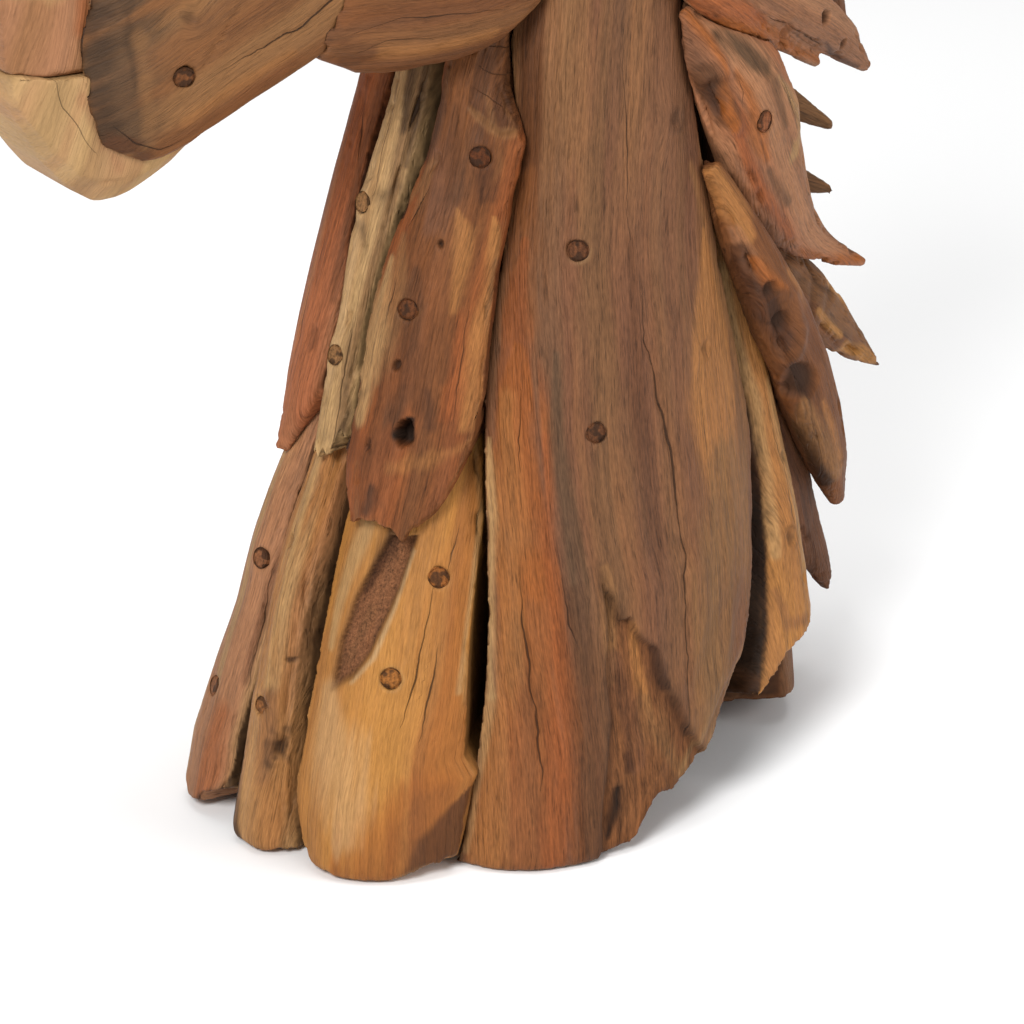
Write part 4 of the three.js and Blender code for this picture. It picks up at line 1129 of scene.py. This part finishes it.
wood = Timber("mane_rear_2", 1.5, 40, seed=33).in_side_view()
weather(wood, 1.1, 1.8)
gnarl(wood, 1.6, 16)
ground(wood, "brown", "umber", "tan")
brush(wood, "honey", [(206, 236, 3), (220, 222, 4), (232, 212, 3)], 0.85)
brush(wood, "honey", [(240, 200, 5), (262, 190, 6), (275, 180, 4)], 0.8)
brush(wood, "honey", [(218, 250, 2), (232, 240, 4), (244, 226, 3)], 0.8)
paint_shade_on_sides(wood, "coffee", 0.7, 0.2)
give(wood)

wood = Timber("mane_rear_1", 1.5, 40, seed=35).in_side_view()
weather(wood, 1.2, 1.8)
gnarl(wood, 1.6, 16)
ground(wood, "plum", "umber", "coffee")
paint_shade_on_sides(wood, "pit", 0.7, 0.2)
give(wood)

# %% [markdown]
# ## The pieces that the first view hides
# The far side, the back and the top of the head are finished with the same tools, more plainly: a
# ground coat by the kind of wood and weathering, and on the slabs one crack and one knot. Copies of
# the near pieces would be quicker, but no two lengths of split wood are alike.

# %% Plainer pieces
COATS = {
    "teak_golden": ("gold", "honey", "tan"), "teak_orange": ("orange", "rust", "tan"),
    "teak_red": ("red", "rust", "umber"), "teak_brown": ("brown", "umber", "tan"),
    "teak_grey": ("ash", "olive", "slate"), "teak_pale": ("straw", "cream", "olive"),
    "teak_dark": ("coffee", "umber", "plum"),
}
FAR_SLABS = {
    "nape_slab": (359, 357), "back_slab_far": (50, 51), "great_slab_far": (97, 107),
    "foot_slab_far": (142, 145), "throat_slab_far": (144, 146), "crest_slab_near": (325, 313),
    "crest_slab_far": (31, 42),
}
CHART_TOP = 700
FAR_VOXEL = 3.2
TOP_VOXEL = 3.0
seed = 41
for node, (low_angle, high_angle) in FAR_SLABS.items():
    seed += 2
    wood = Timber(node, FAR_VOXEL, seed=seed).on_neck([(high_angle, CHART_TOP), (low_angle, 0)])
    weather(wood, 1.2, 1.2)
    worn_foot(wood)
    ground(wood, *COATS[SLOT_OF[node]])
    z = wood.place[:, 2]
    low, middle, knotty, upper = z.min() + np.array([0.3, 0.5, 0.62, 0.75]) * np.ptp(z)
    low_turn, turn = np.interp([low, upper], [0, CHART_TOP], [low_angle, high_angle])
    crack(wood, [(low_turn + 3, low, 0), (low_turn + 4, middle, 1.2), (turn + 4, z.max() - 30, 0)], 2.0)
    knot(wood, turn - 6, knotty, 7, 1.5, 0.6)
    paint_shade_on_sides(wood)
    pale_edges(wood)
    give(wood)

HEAD_ALONG = {
    "muzzle_far": (0.86, 0, 0.5), "jowl_far": (1, 0, 0.05), "brow_near": (0.9, 0, 0.45),
    "brow_far": (0.9, 0, 0.45), "forehead_slab": (0.77, 0, 0.64), "poll_block": (1, 0, -0.05),
}
for node in frame["nodes"]:
    if node in made or node in PLUG_NODES:
        continue
    seed += 2
    near = not node.endswith("far")
    wood = Timber(node, TOP_VOXEL, 62, seed=seed).in_side_view(HEAD_ALONG.get(node), near)
    wood.face[:] = 1
    weather(wood, 1.1, 0.9)
    ground(wood, *COATS[SLOT_OF[node]])
    give(wood)

# %% [markdown]
# ## Round plugs
# Round plugs are let into the faces. They are cut across the grain, so their ends show rings. A plug
# is a short cylinder with its rim bevelled, turned to the axis of the hole it fills, a little sunk
# and off centre, as a hammered plug is. One plug could be copied, but each takes its own stain.

# %% Plugs
PLUG_RADIUS = 5.5
PLUG_SIDES = 28
PLUG_SUNK = 0.5
PLUG_LOOSE = 0.3
END_DEPTH = -1.5
SAME_PLANE = 0.05


def plug_axis(node):
    """A plug's outer end, the way it looks and its length."""
    mesh = frame["nodes"][node].data
    places = read(mesh.vertices, "co") / MM
    for polygon in mesh.polygons:
        way = np.array(polygon.normal)
        reach = places @ way
        ends = np.abs(reach - reach.max()) < SAME_PLANE
        if np.all(ends | (np.abs(reach - reach.min()) < SAME_PLANE)):
            centre = places.mean(axis=0)
            middle = neck_at(centre[2])[0]
            if way @ (centre - (middle, NECK_ASIDE, centre[2])) > 0:
                return places[ends].mean(axis=0), way, reach.max() - reach.min()
    raise ValueError(node)


def end_grain():
    material, tree, shader = new_finish("plug")
    grain = attribute(tree, "grain", "Vector")
    depth = grain.node("ShaderNodeSeparateXYZ", None, 0, Vector=grain)
    speck = grain.stretched(1.7, 1.7, 1.0).cloud(3.0, 0.7)
    rings = (depth * 2.6 + speck * 5.0).math("SINE")
    light = rings * 0.12 + (speck - 0.5) * 2.4 + 0.95
    away = grain.node("ShaderNodeSeparateXYZ", None, 2, Vector=grain)
    lump = grain.stretched(5.5, 5.5, 1.0).cloud(1.0)
    edge = (away + (lump - 0.5) * 1.5).between(0.88, 1.04)
    tint = attribute(tree, "tint", "Color")
    colour = tint.dimmed(light.math("MAXIMUM", 0.2)).toward(CRACK_BROWN, edge * 0.75)
    height = speck * 0.8 + rings * 0.1
    normal = height.node("ShaderNodeBump", None, Strength=0.6, Distance=BUMP_REACH, Height=height)
    tree.links.new(colour.socket, shader.inputs["Base Color"])
    tree.links.new(normal.socket, shader.inputs["Normal"])
    shader.inputs["Roughness"].default_value = 0.7
    return material


FINISH["plug"] = end_grain()
PLUG_SHADE = np.array([0.76, 0.62, 0.53])
for number, node in enumerate(PLUG_NODES):
    end, way, length = plug_axis(node)
    bpy.ops.object.select_all(action="DESELECT")
    size = {"vertices": PLUG_SIDES, "radius": PLUG_RADIUS * MM, "depth": length * MM}
    bpy.ops.mesh.primitive_cylinder_add(location=(0, 0, -0.5 * length * MM), **size)
    piece = bpy.context.object
    piece.name = f"wood_{node}"
    bpy.ops.object.transform_apply(location=True, rotation=False, scale=False)
    bpy.ops.object.mode_set(mode="EDIT")
    bpy.ops.mesh.select_mode(type="FACE")
    bpy.ops.mesh.select_all(action="DESELECT")
    bpy.ops.object.mode_set(mode="OBJECT")
    for polygon in piece.data.polygons:
        polygon.select = polygon.normal.z > 0.9
    bpy.ops.object.mode_set(mode="EDIT")
    bpy.ops.mesh.bevel(offset=0.5 * MM, segments=2, affect="EDGES")
    bpy.ops.mesh.inset(thickness=0.9 * MM)
    bpy.ops.mesh.inset(thickness=1.3 * MM)
    bpy.ops.mesh.poke()
    bpy.ops.object.mode_set(mode="OBJECT")
    places = read(piece.data.vertices, "co") / MM
    across = np.cross(way, (0, 0, 1))
    across /= np.linalg.norm(across)
    up = np.cross(across, way)
    at_end = places[:, 2] > END_DEPTH
    rim = np.where(at_end, np.hypot(places[:, 0], places[:, 1]) / PLUG_RADIUS, 1.0)
    grain = np.column_stack([places[:, 0] + number * 17.0, places[:, 1] + number * 5.0, rim])
    sunk = places[:, 2] - PLUG_SUNK - 0.4 * noise(places / 3.0 + number, 5) * at_end
    loose = PLUG_LOOSE * (math.cos(number * 2.4) * across + math.sin(number * 2.4) * up)
    moved = end + loose + places[:, :1] * across + places[:, 1:2] * up + sunk[:, None] * way
    piece.data.vertices.foreach_set("co", (moved * MM).ravel())
    keep(piece.data, "grain", "FLOAT_VECTOR", grain)
    colour = np.append(beside_plug[node] * PLUG_SHADE, 1)
    keep(piece.data, "tint", "FLOAT_COLOR", np.tile(colour, len(places)))
    piece.data.update()
    pick_only(piece)
    bpy.ops.object.mode_set(mode="EDIT")
    bpy.ops.mesh.select_all(action="SELECT")
    bpy.ops.mesh.normals_make_consistent(inside=False)
    bpy.ops.object.mode_set(mode="OBJECT")
    bpy.ops.object.shade_smooth_by_angle(angle=math.radians(40))
    piece.data.materials.append(FINISH["plug"])
    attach(piece, "root")
    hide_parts(node)
    piece.data.calc_loop_triangles()
    made[node] = len(piece.data.loop_triangles)
print("plugs:", len(PLUG_NODES), "triangles in all:", sum(made.values()))

# %% [markdown]
# ## Floor, light and camera
# The sculpture stands in a white room with large soft lights, seen from a little above and in front
# of the horse's left shoulder through a long lens. A wide matt floor and big area lights give that
# soft shade. A sun lamp would be simpler, but its shadows would be too hard.

# %% Studio
bpy.ops.object.select_all(action="DESELECT")
bpy.ops.mesh.primitive_plane_add(size=14, location=(0, 0, 0))
floor = bpy.context.object
floor.name = "studio_floor"
white = bpy.data.materials.new("studio_white")
white.use_nodes = True
matt = white.node_tree.nodes["Principled BSDF"].inputs
matt["Base Color"].default_value = (0.93, 0.93, 0.93, 1)
matt["Roughness"].default_value = 0.9
matt["Specular IOR Level"].default_value = 0.1
floor.data.materials.append(white)

world = bpy.data.worlds.new("studio")
world.use_nodes = True
sky = world.node_tree.nodes["Background"].inputs
sky["Color"].default_value = (1, 1, 1, 1)
sky["Strength"].default_value = 0.36
bpy.context.scene.world = world


def point_at(item, place, aim):
    """Puts a lamp or a camera at a place and turns it to look at another."""
    look = np.array(aim, float) - place
    tip = math.acos(-look[2] / np.linalg.norm(look))
    item.location = place
    item.rotation_euler = (tip, 0, math.atan2(look[1], look[0]) - math.pi / 2)


def softbox(name, place, aim, size, power):
    light = bpy.data.lights.new(name, "AREA")
    light.shape = "DISK"
    light.size = size
    light.energy = power
    lamp = bpy.data.objects.new(name, light)
    bpy.context.collection.objects.link(lamp)
    point_at(lamp, place, aim)


softbox("key", (-2.5, -1.8, 2.7), (0, 0, 0.3), 1.4, 125)
softbox("fill", (1.9, -2.4, 1.5), (0.1, 0, 0.3), 1.8, 34)
softbox("top", (0.3, 0.2, 3.4), (0, 0, 0), 2.2, 65)
camera = bpy.data.objects.new("camera", bpy.data.cameras.new("camera"))
bpy.context.collection.objects.link(camera)
CAMERA_PLACE = np.array([-1.14507, -1.80024, 1.0514])
CAMERA_AIM = np.array([0.02303, -0.00144, 0.141])
point_at(camera, CAMERA_PLACE, CAMERA_AIM)
camera.data.sensor_width = 36
camera.data.lens = 146.3
bpy.context.scene.camera = camera
bpy.context.scene.view_settings.view_transform = "Standard"
print("camera at", CAMERA_PLACE.round(2))

# %% [markdown]
# ## The end
# The carved model has to stay inside the solids' box, or very nearly, because a part that is put into
# a scene has to fit the room its solids need.
